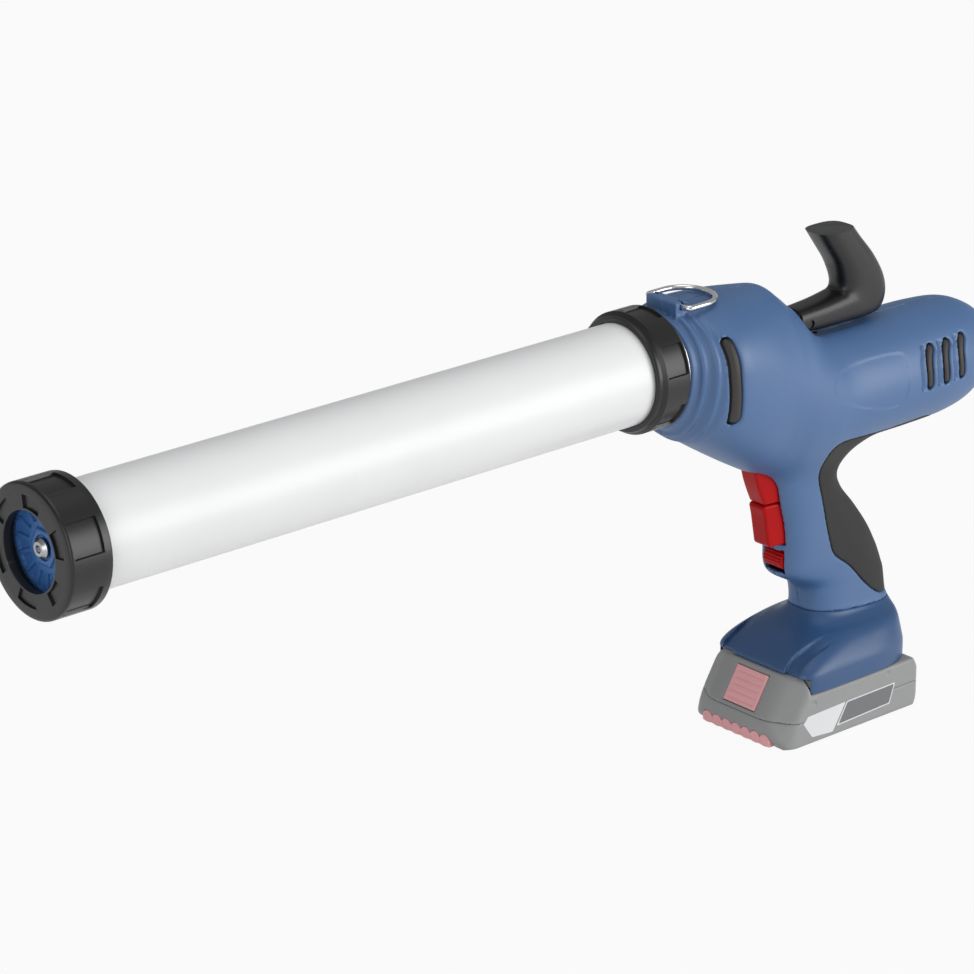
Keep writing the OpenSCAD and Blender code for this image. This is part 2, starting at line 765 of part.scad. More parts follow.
// The springs are drawn at the length that they have with the triggers pressed
module trigger_springs() {
    color("#b8b8b8") for (z = spring_places)
        tube_x(trigger_back - spring_pocket + trigger_travel + slide_gap, switch_front, spring_r, spring_r - spring_wire, z);
}
switch_half = 8.5;
switch_back = 521;
module switch_module() {
    color("#1f1f1f") difference() {
        union() {
            block([switch_front, -switch_half, -122], [switch_back, switch_half, -79]);
            for (z = spring_places) rod_x(switch_front - 1.2, switch_front + 1, spring_r - spring_wire - 0.1, z);
            block([switch_back - 1, -4, -121], [switch_back + 3, 4, -116]);
            block([switch_back - 6, -14.6, -104], [switch_back - 2, 14.6, -98]);
        }
        rod_x(switch_back - 1, switch_back + 4, 1.2, -118.5);
    }
}
module speed_dial() {
    color("#b81f1f") difference() {
        rod_y(-dial_half, dial_half, dial_d / 2, dial_x, dial_z);
        for (i = [0 : 23])
            rod_y(-dial_half - 1, dial_half + 1, 0.55,
                dial_x + dial_d / 2 * cos(i * 15), dial_z + dial_d / 2 * sin(i * 15));
        rod_y(-dial_half - 1, dial_half + 1, dial_pin_r + run_gap, dial_x, dial_z);
    }
}
module dial_pin() {
    color("#9a9a9a") rod_y(-dial_pin_half, dial_pin_half, dial_pin_r, dial_x, dial_z);
}

// Gear outlines

function spread(base, r) = r <= base ? 0 : let (a = acos(base / r)) tan(a) * 180 / PI - a;
flank_steps = 4;
// Half angle of a tooth at radius r, for a gear with pitch radius rp and n teeth
function half_tooth(r, rp, n, play) = 90 / n - play / rp * 90 / PI + spread(rp * cos(20), rp) - spread(rp * cos(20), r);
function gear_points(m, n, play = backlash, tip = 1, root = 1.25) =
    let (rp = m * n / 2, ra = rp + tip * m, rf = rp - root * m, r0 = max(rf, rp * cos(20)))
    [for (i = [0 : n - 1])
        let (c = 360 * i / n, h0 = half_tooth(r0, rp, n, play))
            each concat(
                rf < r0 ? [rf * [cos(c - h0), sin(c - h0)]] : [],
                [for (j = [0 : flank_steps]) let (r = r0 + (ra - r0) * j / flank_steps, h = half_tooth(r, rp, n, play))
                    r * [cos(c - h), sin(c - h)]],
                [for (j = [flank_steps : -1 : 0]) let (r = r0 + (ra - r0) * j / flank_steps, h = half_tooth(r, rp, n, play))
                    r * [cos(c + h), sin(c + h)]],
                rf < r0 ? [rf * [cos(c + h0), sin(c + h0)]] : [])];
module gear_x(m, n, turn, x0, x1, play = backlash, tip = 1, root = 1.25) {
    along_x(x0) rotate([0, 0, turn]) linear_extrude(x1 - x0) polygon(gear_points(m, n, play, tip, root));
}
module gear_y(m, n, turn, y0, y1) {
    translate([0, y1, 0]) rotate([90, 0, 0]) rotate([0, 0, turn]) linear_extrude(y1 - y0) polygon(gear_points(m, n));
}
// Straight bevel teeth with their apex at the origin and the axis along +Z. The flanks are spur
// flanks of the back cone, and each inner point is its outer point drawn towards the apex.
function bevel_ring(m, n, other, k) =
    let (rp = m * n / 2, cone = atan(n / other), back = rp / cos(cone), zp = rp / tan(cone), play = backlash)
    [for (i = [0 : n - 1]) let (c = 360 * i / n)
        each [for (q = [[-1, -1.2], [-1, -0.5], [-1, 0], [-1, 0.9], [1, 0.9], [1, 0], [1, -0.5], [1, -1.2]])
            let (rv = back + q[1] * m, nv = 2 * back / m,
                h = half_tooth(max(rv, back * cos(20)), back, nv, play) * rv / back / cos(cone) * back / rv,
                a = c + q[0] * h, rad = rv * cos(cone), z = zp + back * sin(cone) - rv * sin(cone))
                k * [rad * cos(a), rad * sin(a), z]]];
module bevel_teeth(m, n, other, face, back_z) {
    rp = m * n / 2;
    cone = atan(n / other);
    reach = rp / sin(cone);
    outer = bevel_ring(m, n, other, 1);
    inner = bevel_ring(m, n, other, 1 - face / reach);
    k = len(outer);
    polyhedron(
        points = concat(inner, outer, [[0, 0, inner[0][2]], [0, 0, back_z]]),
        faces = concat(
            [for (i = [0 : k - 1]) [2 * k, i, (i + 1) % k]],
            [for (i = [0 : k - 1]) [i, k + i, k + (i + 1) % k]],
            [for (i = [0 : k - 1]) [i, k + (i + 1) % k, (i + 1) % k]],
            [for (i = [0 : k - 1]) [2 * k + 1, k + (i + 1) % k, k + i]]));
}

// Drive train

shaft_r = 4;
bush_r = 7;
cheek_in = 19;
cheek_out = 23;
shaft_half = 22.5;
spur_face = [-17, -10];
pinion_face = 6;
clutch_r = 8;
bevel_r2 = bevel_module * bevel_gear_teeth / 2;
bevel_r1 = bevel_module * bevel_pinion_teeth / 2;
bevel_face = 5.4;
bevel_back = bevel_r1 + 5.6;
carrier_shaft_r = 5;
bearing_r = 11;
module pinion_shaft() {
    color("#a9a9a9") rod_y(-shaft_half, shaft_half, shaft_r, pinion_x, pinion_z);
}
module drive_pinion() {
    color("#8d8d8d") difference() {
        translate([pinion_x, 0, pinion_z]) gear_y(tooth_module, pinion_teeth, 90, -pinion_face, pinion_face);
        rod_y(-pinion_face - 1, pinion_face + 1, shaft_r + press_gap, pinion_x, pinion_z);
    }
}
module clutch_hub() {
    color("#7a6f5a") tube_y(spur_face[0] - 1.6, spur_face[1] + 3.4, clutch_r, shaft_r + press_gap, pinion_x, pinion_z);
}
module drive_gear() {
    color("#9c9c9c") difference() {
        translate([pinion_x, 0, pinion_z])
            gear_y(tooth_module, drive_teeth, 180 / drive_teeth, spur_face[0], spur_face[1]);
        rod_y(spur_face[0] - 1, spur_face[1] + 1, clutch_r + run_gap, pinion_x, pinion_z);
    }
}
module bevel_shaft() {
    color("#a9a9a9") rod_y(-shaft_half, shaft_half, shaft_r, pinion_x, motor_z);
}
module spur_pinion() {
    color("#8d8d8d") difference() {
        union() {
            translate([pinion_x, 0, motor_z])
                gear_y(tooth_module, spur_teeth, 90, spur_face[0] - 0.5, spur_face[1] + 0.5);
        }
        rod_y(spur_face[0] - 2, spur_face[1] + 2, shaft_r + press_gap, pinion_x, motor_z);
    }
}
module bevel_gear() {
    color("#94979a") difference() {
        union() {
            translate([pinion_x, 0, motor_z]) rotate([-90, 0, 0]) rotate([0, 0, 180 / bevel_gear_teeth])
                bevel_teeth(bevel_module, bevel_gear_teeth, bevel_pinion_teeth, bevel_face, bevel_back);
            rod_y(bevel_back - 2, cheek_in - 0.4, shaft_r + 3, pinion_x, motor_z);
        }
        rod_y(-2, cheek_in + 1, shaft_r + press_gap, pinion_x, motor_z);
    }
}
carrier_front = 519;
carrier_back = 524;
planet_front = carrier_back + 1;
planet_back = planet_front + 10;
planet_r = planet_module * (sun_teeth + planet_teeth) / 2;
planet_pin_r = 2;
ring_teeth = sun_teeth + 2 * planet_teeth;
module bevel_pinion() {
    heel = pinion_x + bevel_r2;
    color("#94979a") difference() {
        union() {
            translate([pinion_x, 0, motor_z]) rotate([90, 0, 90])
                bevel_teeth(bevel_module, bevel_pinion_teeth, bevel_gear_teeth, bevel_face, bevel_r2 + 3);
            rod_x(heel + 1.5, 497, carrier_shaft_r + 1.8, motor_z);
        }
        rod_x(pinion_x, 500, carrier_shaft_r - 1.6 + press_gap, motor_z);
    }
}
module planet_carrier() {
    color("#a2a4a6") union() {
        rod_x(carrier_front, carrier_back, 16.5, motor_z);
        rod_x(497.3, carrier_front, carrier_shaft_r, motor_z);
        rod_x(pinion_x + bevel_r2 - bevel_face, 498, carrier_shaft_r - 1.6, motor_z);
        for (i = [0 : 2])
            rod_x(carrier_back - 1, planet_back + 0.6, planet_pin_r, motor_z + planet_r * sin(90 + 120 * i), planet_r * cos(90 + 120 * i));
    }
}
module planet_gear(i) {
    color("#8d8d8d") translate([0, planet_r * cos(90 + 120 * i), motor_z + planet_r * sin(90 + 120 * i)])
        difference() {
            gear_x(planet_module, planet_teeth, 90 + 120 * i + 180 + 180 / planet_teeth, planet_front, planet_back);
            rod_x(planet_front - 1, planet_back + 1, planet_pin_r + run_gap);
        }
}
module planet_gear_1() {
    planet_gear(0);
}
module planet_gear_2() {
    planet_gear(1);
}
module planet_gear_3() {
    planet_gear(2);
}
ring_r = 23;
ring_front = carrier_front - 0.6;
ring_back = planet_back + 3;
module ring_gear() {
    color("#777777") difference() {
        rod_x(ring_front, ring_back, ring_r, motor_z);
        translate([0, 0, motor_z])
            gear_x(planet_module, ring_teeth, 180 / ring_teeth, ring_front - 1, ring_back + 1, -backlash, 1.25, 1);
    }
}
flange_back = 507;
case_back = 544;
module gearbox_case() {
    color("#6f7174") difference() {
        rod_x(flange_back, case_back, case_r, motor_z);
        rod_x(ring_front - 7, ring_back + press_gap, ring_r + press_gap, motor_z);
        rod_x(flange_back - 1, case_back, 12, motor_z);
        rod_x(flange_back, case_back + 1, 6.2, motor_z);
    }
}
sun_face = [planet_front + 0.5, planet_back + 1.5];
motor_shaft_r = motor_shaft_d / 2;
can_front = 558;
can_back = can_front + motor_len;
holder_back = can_back + 16;
module sun_gear() {
    color("#b0b0b0") translate([0, 0, motor_z]) difference() {
        gear_x(planet_module, sun_teeth, 0, sun_face[0], sun_face[1]);
        rod_x(sun_face[0] - 1, sun_face[1] + 1, motor_shaft_r + press_gap);
    }
}
module motor_shaft() {
    color("#c0c0c0") rod_x(sun_face[0], holder_back - 0.6, motor_shaft_r, motor_z);
}
fan_front = case_back + 2.5;
module cooling_fan() {
    color("#3a3a3a") difference() {
        union() {
            rod_x(fan_front, fan_front + 8, 7, motor_z);
            rod_x(fan_front, fan_front + 1.6, fan_d / 2, motor_z);
            for (i = [0 : 10])
                translate([fan_front, 0, motor_z]) rotate([i * 360 / 11, 0, 0])
                    translate([0, 6, -0.7]) cube([8, fan_d / 2 - 6.5, 1.4]);
        }
        rod_x(fan_front - 1, fan_front + 10, motor_shaft_r + press_gap, motor_z);
    }
}
can_wall = 1.7;
motor_bearing_r = 6.5;
module motor_can() {
    color("#8b8e92") difference() {
        rod_x(can_front, can_back, motor_r, motor_z);
        rod_x(can_front + 4, can_back + 1, motor_r - can_wall, motor_z);
        rod_x(can_front - 1, can_front + 5, motor_bearing_r, motor_z);
        for (i = [0 : 3])
            rod_x(can_front - 1, can_front + 5, 2.4, motor_z + 12 * sin(45 + 90 * i), 12 * cos(45 + 90 * i));
    }
}
magnet_depth = 2.6;
module motor_magnets() {
    color("#55504c") for (a = [-60, 120])
        translate([can_front + 7, 0, motor_z]) rotate([90, 0, 90]) rotate([0, 0, a])
            rotate_extrude(angle = 120)
                translate([motor_r - can_wall - press_gap - magnet_depth, 0]) square([magnet_depth, motor_len - 16]);
}
armature_r = motor_r - can_wall - magnet_depth - 0.6;
module armature() {
    color("#9b6a3c") difference() {
        union() {
            rod_x(can_front + 9, can_back - 11, armature_r, motor_z);
            rod_x(can_back - 8, can_back + 6, 5.5, motor_z);
            rod_x(can_back - 11.5, can_back - 7.5, 8, motor_z);
        }
        for (i = [0 : 6])
            translate([can_front + 8, 0, motor_z]) rotate([i * 360 / 7, 0, 0])
                translate([0, armature_r - 3, -0.8]) cube([motor_len - 19.5, 4, 1.6]);
        rod_x(can_front, can_back + 8, motor_shaft_r + press_gap, motor_z);
    }
}
module brush_holder() {
    color("#2e2e2e") difference() {
        rod_x(can_back, holder_back, motor_r - 1, motor_z);
        rod_x(can_back - 1, holder_back - 4, motor_r - 4, motor_z);
        rod_x(holder_back - 5, holder_back + 1, motor_bearing_r, motor_z);
    }
    color("#2e2e2e") for (side = [-1, 1])
        translate([0, 0, motor_z]) rotate([side * 90, 0, 0]) difference() {
            block([can_back + 0.5, -3.4, 6.2], [can_back + 7.5, 3.4, motor_r - 4.2]);
            block([can_back + 1.5, -2.4, 5], [can_back + 6.5, 2.4, motor_r - 5]);
        }
}
module carbon_brushes() {
    color("#353535") for (side = [-1, 1])
        translate([0, 0, motor_z]) rotate([side * 90, 0, 0])
            block([can_back + 1.6, -2.3, 5.6], [can_back + 5.9, 2.3, 12.5]);
}
module motor_bearings() {
    color("#aeb0b2") for (x = [can_front, holder_back - 4])
        tube_x(x, x + 4, motor_bearing_r - press_gap, motor_shaft_r + run_gap, motor_z);
}
module carrier_bearing() {
    color("#aeb0b2") tube_x(499, flange_back - 0.5, bearing_r - press_gap, carrier_shaft_r + run_gap, motor_z);
}
module shaft_bushes() {
    color("#b08d4a") for (z = [pinion_z, motor_z], side = [-1, 1]) scale([1, side, 1])
        tube_y(cheek_in, cheek_out, bush_r - press_gap, shaft_r + run_gap, pinion_x, z);
}
bush_wall = 2;
module rod_bush(x0, x1) {
    y = rod_w / 2 + run_gap * 2;
    z = rod_half + run_gap * 2;
    difference() {
        block([x0, -y - bush_wall, -z - bush_wall], [x1, y + bush_wall, z + bush_wall]);
        block([x0 - 1, -y, -z], [x1 + 1, y, z]);
    }
}
module rod_bushes() {
    color("#d8d4c4") {
        rod_bush(plate_front, plate_back);
        rod_bush(490.5, 494.5);
    }
}
// Side view of the frame's cheeks
cheek_outline = [[plate_back - 0.5, -24], [plate_back - 0.5, 16], [468, 16], [484, 2], [498, -8], [flange_back, -24],
    [flange_back, -60], [462, -57], [446, -46], [430, -35]];
module gear_frame() {
    color("#8f9296") difference() {
        union() {
            rod_x(plate_front, plate_back, plate_r);
            for (side = [-1, 1]) scale([1, side, 1]) side_prism(cheek_outline, cheek_in, cheek_out);
            rod_x(497.6, flange_back, case_r - 0.5, motor_z);
            block([490.5, -cheek_in - 0.5, -11], [494.5, cheek_in + 0.5, -5]);
            block([490.5, -10.4, -10.4], [494.5, 10.4, 8.4]);
        }
        for (z = [pinion_z, motor_z]) rod_y(-cheek_out - 1, cheek_out + 1, bush_r, pinion_x, z);
        rod_x(499, flange_back + 1, bearing_r, motor_z);
        rod_x(490, 500, carrier_shaft_r + 2.4, motor_z);
        block([400, -rod_w / 2 - bush_wall - 0.1, -rod_half - bush_wall - 0.1],
            [496, rod_w / 2 + bush_wall + 0.1, rod_half + bush_wall + 0.1]);
    }
}

// Electronics in the foot

board_z = -181;
terminal_half = foot_half - 6.8;
module terminal_block() {
    color("#202020") union() {
        block([543, -15, -192], [562, 15, board_z - 0.02]);
        block([546, -terminal_half, -187.4], [552, terminal_half, -184.6]);
        for (y = blade_places) block([545, y - 0.5, -198.5], [558, y + 0.5, -191.5]);
    }
}
blade_places = [-11, -3.7, 3.7, 11];
module control_board() {
    color("#1f5a3a") union() {
        block([510, -12.5, board_z], [562, 12.5, board_z + 1.6]);
        block([514, -9, board_z + 1.5], [526, -1, board_z + 5.5]);
        block([514, 2, board_z + 1.5], [522, 10, board_z + 3]);
        for (y = [-6, 4]) translate([538, y, board_z + 1.5]) cylinder(h = 7, r = 4);
        block([548, -8, board_z + 1.5], [556, 8, board_z + 4]);
    }
}

// Battery

battery_half = foot_half - 0.5;
split_z = -215.5;
// Angle of the sloped front from upright
slope = atan2(14.8 - 1, lip_bottom - slide_gap - split_z - 0.5);
shoulder_z = foot_bottom - slide_gap;
corner_r = 13;
function battery_side(t) = [
    [battery_front + 14.8 + t, lip_bottom - slide_gap - t], [battery_front + 1 + t, split_z + 0.5],
    [battery_front + t, -218], [battery_front + t, -224], [battery_front + 5 + t, battery_base + t],
    [battery_back - 5 - t, battery_base + t], [battery_back - t, battery_base + 6], [battery_back - t, -209],
    [battery_back - 6 - t, shoulder_z - t], [lip_back - t, shoulder_z - t],
    [lip_back - t, lip_bottom - slide_gap - t]];
rear_corner_r = 6.5;
module battery_plan(t) {
    front = battery_front + t;
    back = battery_back - t;
    half = battery_half - t;
    r = corner_r - t;
    rear_r = rear_corner_r - t;
    for (side = [-1, 1]) {
        translate([front + r, side * (half - r)]) circle(r);
        translate([back - rear_r, side * (half - rear_r)]) circle(rear_r);
    }
    translate([front, r - half]) square([r, 2 * (half - r)]);
    translate([front + r, -half]) square([back - front - r - rear_r, 2 * half]);
    translate([back - rear_r - 0.01, rear_r - half]) square([rear_r + 0.01, 2 * (half - rear_r)]);
}
// Everything behind the slanted flats beside the sloped front
flat_angle = 28;
module battery_corners(t) {
    difference() {
        block([400, -60, -260], [700, 60, -150]);
        for (side = [-1, 1]) scale([1, side, 1])
            translate([battery_front + 14.8, flat_start, lip_bottom - slide_gap])
                rotate([0, slope, 0]) rotate([0, 0, -flat_angle])
                    block([-60, -10, -80], [t, 60, 60]);
    }
}
module battery_form(t) {
    intersection() {
        side_prism(battery_side(t), -60, 60);
        translate([0, 0, -260]) linear_extrude(100)
            battery_plan(t);
        battery_corners(t);
    }
}
module battery_tray() {
    color("#8a8a8a") difference() {
        battery_form(0);
        battery_form(battery_wall);
        block([400, -60, split_z], [700, 60, -150]);
        ridge(0.1);
    }
}
module button_place() {
    translate([battery_front + 8.1, 0, -204.2]) rotate([0, slope, 0]) rotate([0, 0, 180]) children();
}
button_half = 12;
button_high = 10.4;
// The raised deck behind the rails
deck_half = tongue_in - 5.5;
deck_back = battery_back - 9;
module battery_cover() {
    color("#8e8e8e") difference() {
        union() {
            intersection() {
                battery_form(0);
                block([400, -60, split_z + 0.05], [700, 60, -150]);
            }
            block([lip_back + 1, -tongue_in + 0.5, shoulder_z - 1], [rail_back, tongue_in - 0.5, cover_top]);
            block([rail_front, -rail_half, tongue_top + slide_gap], [rail_back, rail_half, cover_top]);
            block([rail_back - 1, -deck_half, shoulder_z - 1], [deck_back, deck_half, cover_top]);
        }
        intersection() {
            battery_form(battery_wall);
            block([400, -60, -240], [700, 60, -150]);
        }
        block([lip_back + 4, -deck_half + 1.5, shoulder_z - 5],
            [deck_back - 4, deck_half - 1.5, cover_top - battery_wall]);
        for (y = blade_places) block([543.5, y - 1, -203], [566, y + 1, cover_top + 1]);
        button_place() block([-5, -button_half - slide_gap, -button_high - slide_gap],
            [6, button_half + slide_gap, button_high + slide_gap]);
    }
}
module battery_button() {
    color("#c87f80") button_place() difference() {
        union() {
            block([-3.4, -button_half, -button_high], [0.8, button_half, button_high]);
            block([-3.4, -6, -4], [-2, 6, 4]);
        }
        for (i = [0 : 4]) block([0.3, -button_half + 2, -8.2 + i * 3.8], [2, button_half - 2, -7.2 + i * 3.8]);
    }
}
ridge_pitch = 7.4;
module ridge(gap) {
    difference() {
        union() {
            block([battery_front + 1.5 - gap, -26 - gap, battery_base - 1], [battery_front + 6 + gap, 26 + gap, -225.5 + gap]);
            for (i = [-3 : 3])
                rod_x(battery_front + 0.2 - gap, battery_front + 6 + gap, 3.4 + gap, -226.4, i * ridge_pitch);
        }
        block([400, -60, -260], [700, 60, battery_base + 0.3]);
    }
}
module battery_ridge() {
    color("#c87f80") ridge(0);
}
cell_z = battery_base + battery_wall + 0.1 + cell_d / 2;
module battery_cells() {
    color("#5f7f9c") for (i = [0 : 4])
        translate([battery_front + 20.6 + i * (cell_d + 0.4), 0, cell_z]) union() {
            rod_y(-cell_len / 2, cell_len / 2 - 1, cell_d / 2);
            rod_y(cell_len / 2 - 1.5, cell_len / 2, 3);
        }
}
module battery_board() {
    color("#2c6b46") union() {
        block([lip_back + 6, -22, -208], [560, 22, -206.4]);
        for (y = blade_places, side = [-1, 1])
            block([546, y + side * 1.3 - 0.25, -206.6], [558, y + side * 1.3 + 0.25, -198.2]);
    }
}
front_cap();
barrel_tube();
union_nut();
barrel_socket();
piston();
piston_seal();
piston_screw();
push_rod();
hook_handle();
hook_bolt();
left_housing();
right_housing();
left_grip();
right_grip();
battery_foot();
housing_screws();
slot_trims();
vent_trims();
hang_ring();
upper_trigger();
lower_trigger();
trigger_springs();
switch_module();
speed_dial();
dial_pin();
gear_frame();
rod_bushes();
shaft_bushes();
carrier_bearing();
pinion_shaft();
drive_pinion();
clutch_hub();
drive_gear();
bevel_shaft();
spur_pinion();
bevel_gear();
bevel_pinion();
planet_carrier();
planet_gear_1();
planet_gear_2();
planet_gear_3();
ring_gear();
gearbox_case();
sun_gear();
motor_shaft();
cooling_fan();
motor_can();
motor_magnets();
armature();
brush_holder();
carbon_brushes();
motor_bearings();
control_board();
terminal_block();
battery_tray();
battery_cover();
battery_button();
battery_ridge();
battery_cells();
battery_board();
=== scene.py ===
"""Looks of a cordless caulking tool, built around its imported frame. Sizes are in millimetres."""

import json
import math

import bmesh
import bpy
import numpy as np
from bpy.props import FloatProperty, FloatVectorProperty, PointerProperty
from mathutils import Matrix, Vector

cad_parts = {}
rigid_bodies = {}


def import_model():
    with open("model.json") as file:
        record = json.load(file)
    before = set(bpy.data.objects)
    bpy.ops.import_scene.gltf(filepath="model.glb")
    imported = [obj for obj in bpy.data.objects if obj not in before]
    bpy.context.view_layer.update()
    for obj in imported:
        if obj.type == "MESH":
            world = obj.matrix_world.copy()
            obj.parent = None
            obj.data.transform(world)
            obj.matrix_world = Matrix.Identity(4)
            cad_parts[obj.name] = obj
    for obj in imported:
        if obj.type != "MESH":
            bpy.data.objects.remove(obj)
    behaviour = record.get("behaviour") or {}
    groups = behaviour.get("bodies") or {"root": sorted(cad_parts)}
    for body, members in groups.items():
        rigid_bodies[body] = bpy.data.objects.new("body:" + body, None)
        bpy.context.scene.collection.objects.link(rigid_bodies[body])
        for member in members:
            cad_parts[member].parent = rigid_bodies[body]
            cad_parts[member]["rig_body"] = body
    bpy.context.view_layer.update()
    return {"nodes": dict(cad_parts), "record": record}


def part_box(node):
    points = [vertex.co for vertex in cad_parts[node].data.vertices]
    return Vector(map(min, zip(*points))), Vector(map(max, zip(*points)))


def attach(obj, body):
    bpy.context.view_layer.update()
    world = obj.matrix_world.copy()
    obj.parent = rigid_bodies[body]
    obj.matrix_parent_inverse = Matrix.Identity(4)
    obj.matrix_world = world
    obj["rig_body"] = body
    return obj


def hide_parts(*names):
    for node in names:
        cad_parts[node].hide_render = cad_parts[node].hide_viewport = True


bl_info = {
    "name": "Cordless caulking tool",
    "version": (1, 0, 0),
    "blender": (4, 5, 0),
    "location": "View3D > Sidebar > Caulking Tool",
    "description": "Builds the shells, grips, barrel, battery and finishes of a cordless caulking tool",
    "category": "Add Mesh",
}

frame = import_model()

MM = 0.001


def corners(node):
    """Lowest and highest corner of a frame node at rest, in millimetres."""
    low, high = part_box(node)
    return np.array(low) / MM, np.array(high) / MM


# Places taken from the frame
TUBE_LOW, TUBE_HIGH = corners("barrel_tube")
CAP_HIGH = corners("front_cap")[1]
NUT_LOW, NUT_HIGH = corners("union_nut")
SOCKET_LOW, SOCKET_HIGH = corners("barrel_socket")
PISTON_LOW, PISTON_HIGH = corners("piston")
BATTERY_LOW, BATTERY_HIGH = corners("battery_tray")
SHELL_LOW, SHELL_HIGH = corners("left_housing")
DIAL_LOW, DIAL_HIGH = corners("speed_dial")
HOOK_HIGH = corners("hook_handle")[1]

# Sizes that the pieces share
BARREL_R = 27.5
BARREL_IN = 26.0
FLANGE_W = 2.0
PANELS = 12
PANEL_START = math.radians(81.5)
PANEL_PITCH = 2 * math.pi / PANELS
PANEL_FLANK = math.radians(0.9)
MOTOR_Z = -41.5
NOSE_X = SHELL_LOW[0]
TAIL_END = SHELL_HIGH[0]
SEAM_Z = -167.0
SEAM_FALL = 0.074
SEAM_FRONT = 511.0
WALL = 2.6
CAVITY_CELL = 2.2
FINE_CELL = 0.45
PISTON_CELL = 0.7
DIAL_CELL = 0.35
GRIP_DEPTH = 1.5
TRIGGER_HALF = 8.0
TRIGGER_TOP = -76.3
TRIGGER_BOTTOM = -122.9
TRIGGER_SEAM = -97.6
TRIGGER_GAP = 0.3
BAY_TOP = -76.0
BAY_BOTTOM = -123.3
SOCKET_NECK = 24.9
RING_X = 409.0
RING_Z = 32.3
RING_WIRE = 1.5
RING_BLOCK_HALF = 11.4
HEAD_R = 3.1
BOSS_R = 3.6
HANDLE_BLEND = 9.0
INSERT_HOLE = 4.5
INSERT_FLOOR = 3.9
DIAL_X = (DIAL_LOW[0] + DIAL_HIGH[0]) / 2
DIAL_Z = (DIAL_LOW[2] + DIAL_HIGH[2]) / 2
WINDOW_Z = -134.2
WINDOW_HALF = 4.6
WINDOW_SIDE = 7.4
FOOT_BOTTOM = -201.0
LIP_BOTTOM = -192.5
LIP_HALF = 21.5
HOOD_HALF = 20.2
FOOT_HALF = 37.5
BATTERY_FRONT = BATTERY_LOW[0]
BATTERY_BACK = BATTERY_HIGH[0]
BATTERY_BASE = BATTERY_LOW[2]
BATTERY_HALF = BATTERY_HIGH[1]
BATTERY_SPLIT = -215.5
BATTERY_TOP = LIP_BOTTOM - 0.3
SHOULDER_Z = FOOT_BOTTOM - 0.3
DECK_TOP = -193.8
BUTTON_X = BATTERY_FRONT + 8.1
BUTTON_Z = -204.2
SLOPE = math.atan2(13.8, BATTERY_TOP - BATTERY_SPLIT - 0.5)
# Duct for the wires from the handle into the foot: front, back, half width
DUCT_FRONT, DUCT_BACK, DUCT_HALF = 521.0, 560.0, 10.0
# Ribs that hold the motor and its gearbox: place and radius
MOTOR_RIBS = ((529.5, 25.4), (568.5, 18.9), (602.5, 18.9))

# Key sections of the body: place, top, bottom, half width, height of the widest line, roundness
BODY_KEYS = [
    [399, 29.4, -35.5, 29.4, 0, 2],
    [404, 29.4, -38.8, 30, 0, 2],
    [408, 29.4, -41.2, 31.5, 0, 2],
    [412, 29.6, -43.7, 34.8, -0.5, 2.05],
    [416, 29.9, -46.2, 38.8, -1, 2.1],
    [424, 30.3, -50.8, 41.3, -2, 2.15],
    [432, 30.5, -55.8, 42, -3, 2.2],
    [450, 30, -66.6, 40.5, -9, 2.2],
    [468, 28.8, -76.6, 38, -18, 1.95],
    [475, 27.2, -79.8, 37.2, -22.4, 1.9],
    [481, 22.6, -82, 36.6, -26, 1.9],
    [489, 16, -84, 35.9, -30.5, 2],
    [497, 6, -83.7, 35.3, -34.2, 2.05],
    [507, -3, -82, 34.5, -38, 2.1],
    [521, -6.7, -78, 33.5, -41.5, 2],
    [545, -8, -75.5, 33.5, -41.5, 2],
    [575, -8.5, -75.5, 33, -41.5, 2],
    [600, -9, -75, 32, -41.5, 2],
    [620, -11, -72.4, 28.6, -41, 2],
    [634, -16.8, -66.6, 22.8, -40.5, 2],
    [643, -23.8, -59.5, 15.8, -40, 2],
    [648, -31, -52.5, 8.6, -39.5, 2],
]
# Key sections of the handle: depth below the axis, front, back, half width, widest line, roundness
HANDLE_KEYS = [
    [50, 476, 560, 24, 515, 2.4, 2.2],
    [66, 480, 553, 22, 512, 2.4, 2.2],
    [77, 481.5, 541, 19.5, 510, 2.5, 2.2],
    [87, 483.3, 531.5, 18, 511, 2.6, 2.2],
    [98, 485.7, 535, 17.5, 514, 2.8, 2.2],
    [112, 489.3, 547, 17.5, 522, 3, 2.2],
    [126, 491.2, 557.5, 18, 530, 3.2, 2.2],
    [137.5, 491.4, 564.2, 18, 535.5, 3.2, 2.2],
    [144, 494.8, 567.6, 17.5, 538, 3, 2.2],
    [150, 505.5, 570, 17.5, 540, 2.7, 2.2],
    [155.5, 510.2, 571.7, 17.5, 541, 2.6, 2.3],
    [167, 511.5, 573.5, 18, 542, 2.6, 2.3],
    [171, 508.5, 574, 19.6, 541, 2.7, 2.5],
    [174, 504.5, 574, 23.4, 541, 2.8, 2.7],
]
# Key sections of the foot, written like the handle's
FOOT_KEYS = [
    [162, 511.2, 573, 17.8, 541.5, 2.6, 2.3],
    [167, 511.5, 573.5, 18, 542, 2.6, 2.3],
    [171, 508.5, 574, 19.6, 541, 2.7, 2.5],
    [174, 504.5, 574, 23.4, 541, 2.8, 2.7],
    [176.5, 500, 574, 28, 539, 3.2, 2.8],
    [179.5, 494.5, 574, 31.4, 535, 3.8, 2.9],
    [184, 487, 574, 34.6, 528, 4.8, 3],
    [188.5, 482.8, 574, 36.8, 524, 6, 3.1],
    [192.5, 481.5, 574, 37.5, 524, 7, 3.2],
    [201, 481.5, 574, 37.5, 524, 7, 3.2],
]
